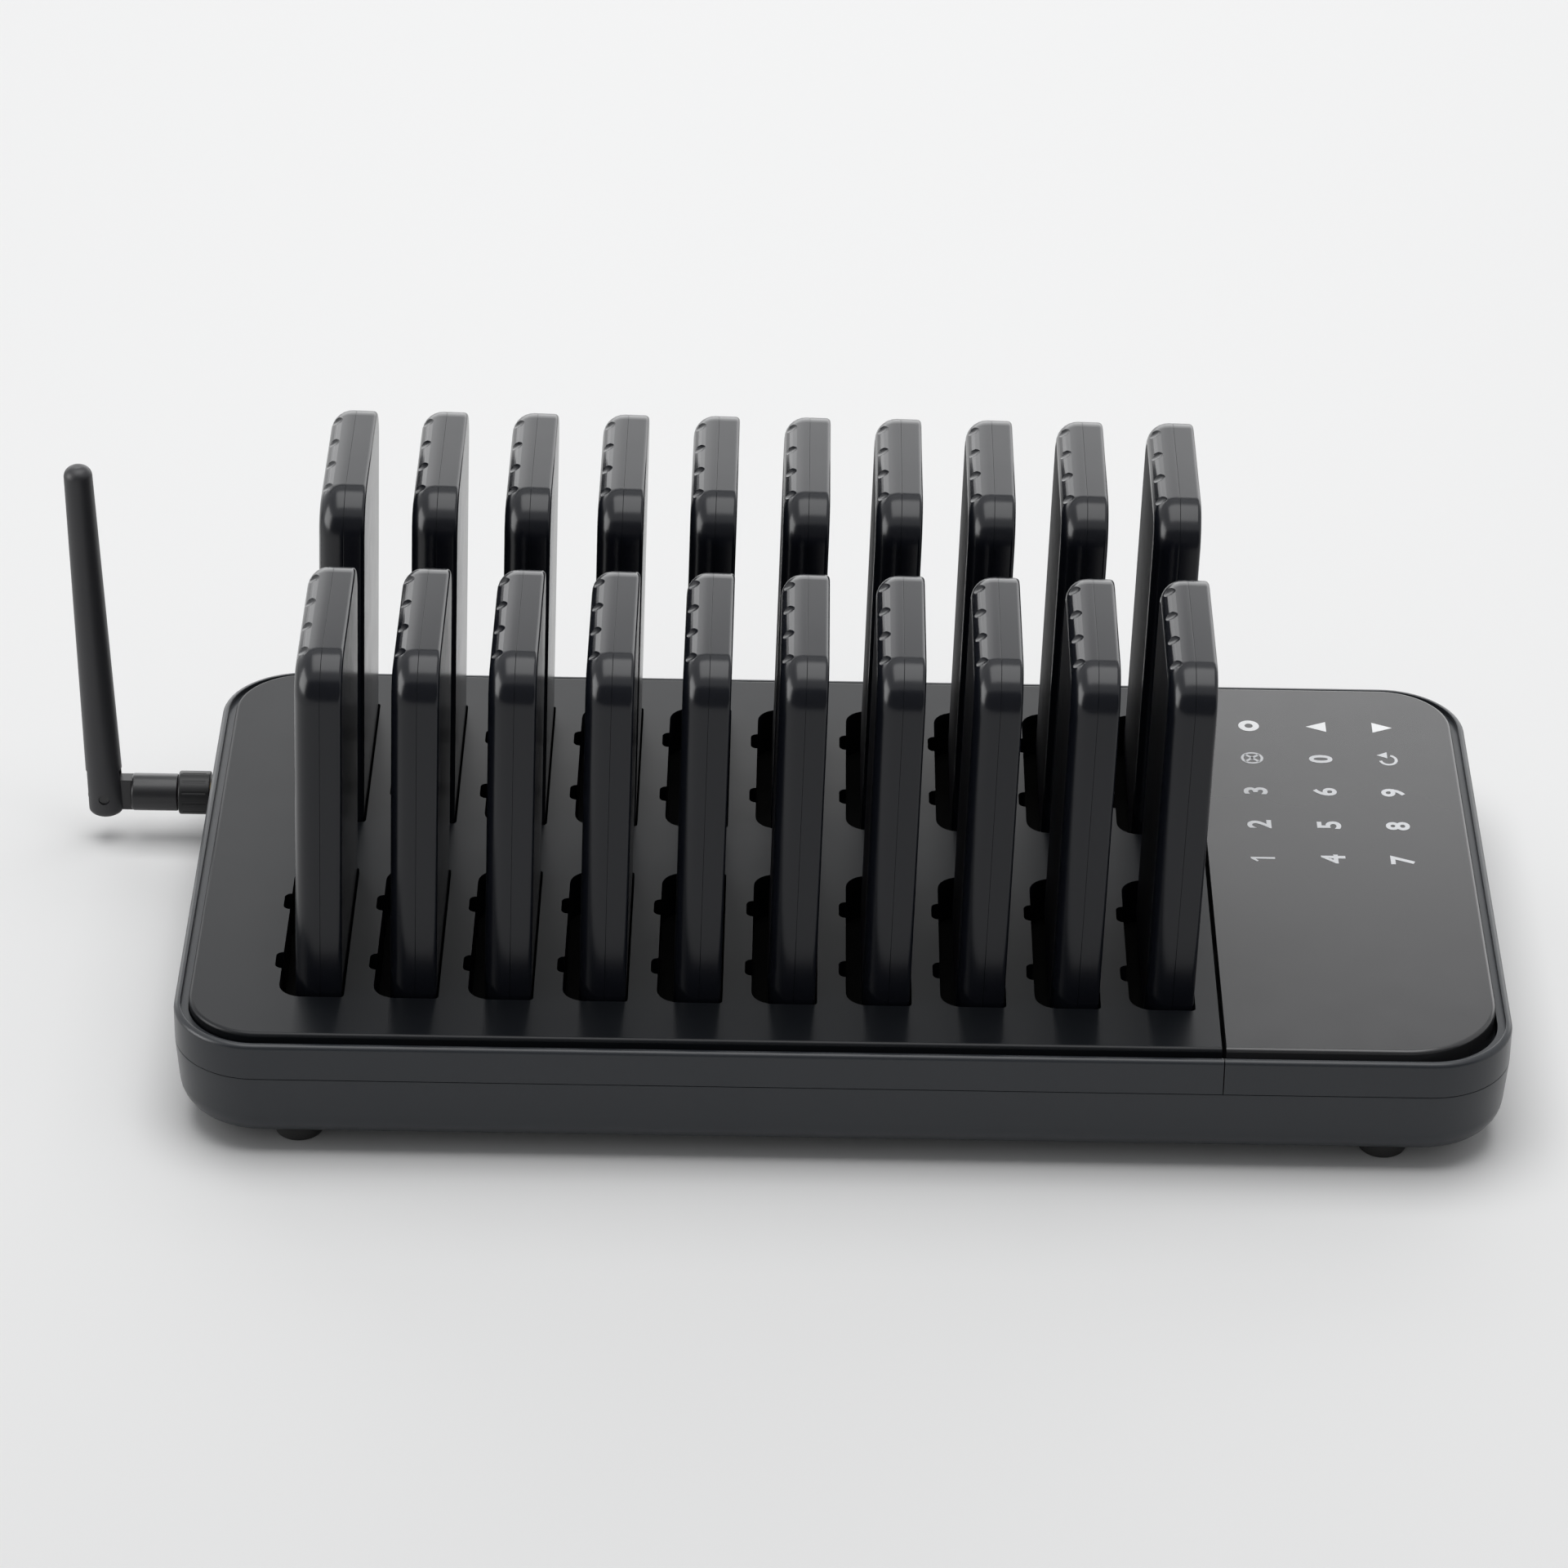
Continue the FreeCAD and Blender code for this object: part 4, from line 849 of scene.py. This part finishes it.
# The camera's place and aim are in millimetres, as the object's sizes are.
cameraSizes = {"place": (-15.97, -1487.25, 953.6), "aim": (-16.9, 39.9, 36.0), "roll": 0.0156,
               "lens": 143.56, "sensor": 36, "reach": 20}


def makeFloor():
    s = stageSizes
    clearSelection()
    bpy.ops.mesh.primitive_plane_add(size=s["floor"], location=(0, 0, 0))
    floor = bpy.context.object
    floor.name = "floor"
    floor.data.materials.append(plainMatt("paleFloor", s["floorTone"], s["floorSpread"], s["floorMottle"],
                                          s["floorRough"], s["floorShine"]))


def makeSky():
    # An even pale room; camera, glossy and clear rays see it as white.
    world = bpy.data.worlds.new("studio")
    bpy.context.scene.world = world
    world.use_nodes = True
    group, links = world.node_tree.nodes, world.node_tree.links
    path = group.new("ShaderNodeLightPath")
    seen = path.outputs["Is Camera Ray"]
    for ray in ("Is Glossy Ray", "Is Transmission Ray"):
        either = addNode(group, "ShaderNodeMath", operation="MAXIMUM")
        links.new(seen, either.inputs[0])
        links.new(path.outputs[ray], either.inputs[1])
        seen = either.outputs["Value"]
    level = addNode(group, "ShaderNodeMath", operation="MAXIMUM")
    level.inputs[1].default_value = stageSizes["sky"]
    links.new(seen, level.inputs[0])
    links.new(level.outputs["Value"], group["Background"].inputs["Strength"])
    group["Background"].inputs["Color"].default_value = (*stageSizes["skyTone"], 1)


def makeCard(name):
    # A dark upright card that only glossy surfaces see.
    s = stageSizes
    y, low, high = s[name]
    clearSelection()
    bpy.ops.mesh.primitive_plane_add(size=1, location=(0, y, (low + high) / 2),
                                     rotation=(math.radians(90), 0, 0))
    bpy.context.object.scale = (s["cardWidth"], high - low, 1)
    card = settle(name)
    card.data.materials.append(plainMatt(name + "Cloth", s["cardTone"], s["cardSpread"], s["cardMottle"],
                                         s["cardRough"], s["cardShine"]))
    card.visible_camera = False
    card.visible_diffuse = False
    card.visible_transmission = False
    card.visible_volume_scatter = False
    card.visible_shadow = False


def addLamp(name):
    power, place, aim, size = lampSizes[name]
    clearSelection()
    facing = (Vector(aim) - Vector(place)).to_track_quat("-Z", "Y")
    bpy.ops.object.light_add(type="AREA", location=place, rotation=facing.to_euler())
    lamp = bpy.context.object
    lamp.name = name
    lamp.data.shape = "RECTANGLE"
    lamp.data.size, lamp.data.size_y = size
    lamp.data.energy = power
    lamp.visible_camera = False
    # The side lamp only shows in glossy surfaces, so the floor beside it stays even.
    lamp.visible_diffuse = name != "sideLamp"


def makeCamera():
    c = cameraSizes
    clearSelection()
    place, aim = Vector(c["place"]) * mm, Vector(c["aim"]) * mm
    bpy.ops.object.camera_add(location=place)
    camera = bpy.context.object
    camera.name = "camera"
    camera.rotation_mode = "QUATERNION"
    camera.rotation_quaternion = (aim - place).to_track_quat("-Z", "Y") @ Quaternion((0, 0, 1), c["roll"])
    camera.data.lens = c["lens"]
    camera.data.sensor_width = c["sensor"]
    camera.data.clip_end = c["reach"]
    bpy.context.scene.camera = camera


def makeStudio():
    makeFloor()
    makeSky()
    makeCard("frontCard")
    makeCard("backCard")
    for name in lampSizes:
        addLamp(name)
    makeCamera()
    bpy.context.scene.view_settings.view_transform = "Standard"
    print("studio ready")


makeBaseShell()
makeRim("deckRim", True, "deck_frame")
makeRim("keypadRim", False, "keypad_frame")
makeDeckPlate()
makeKeypad()
makeFeet()
makeArm()
makeKnuckle()
makeCollar()
makePagers()
dressNodes()
makeStudio()
clearSelection()
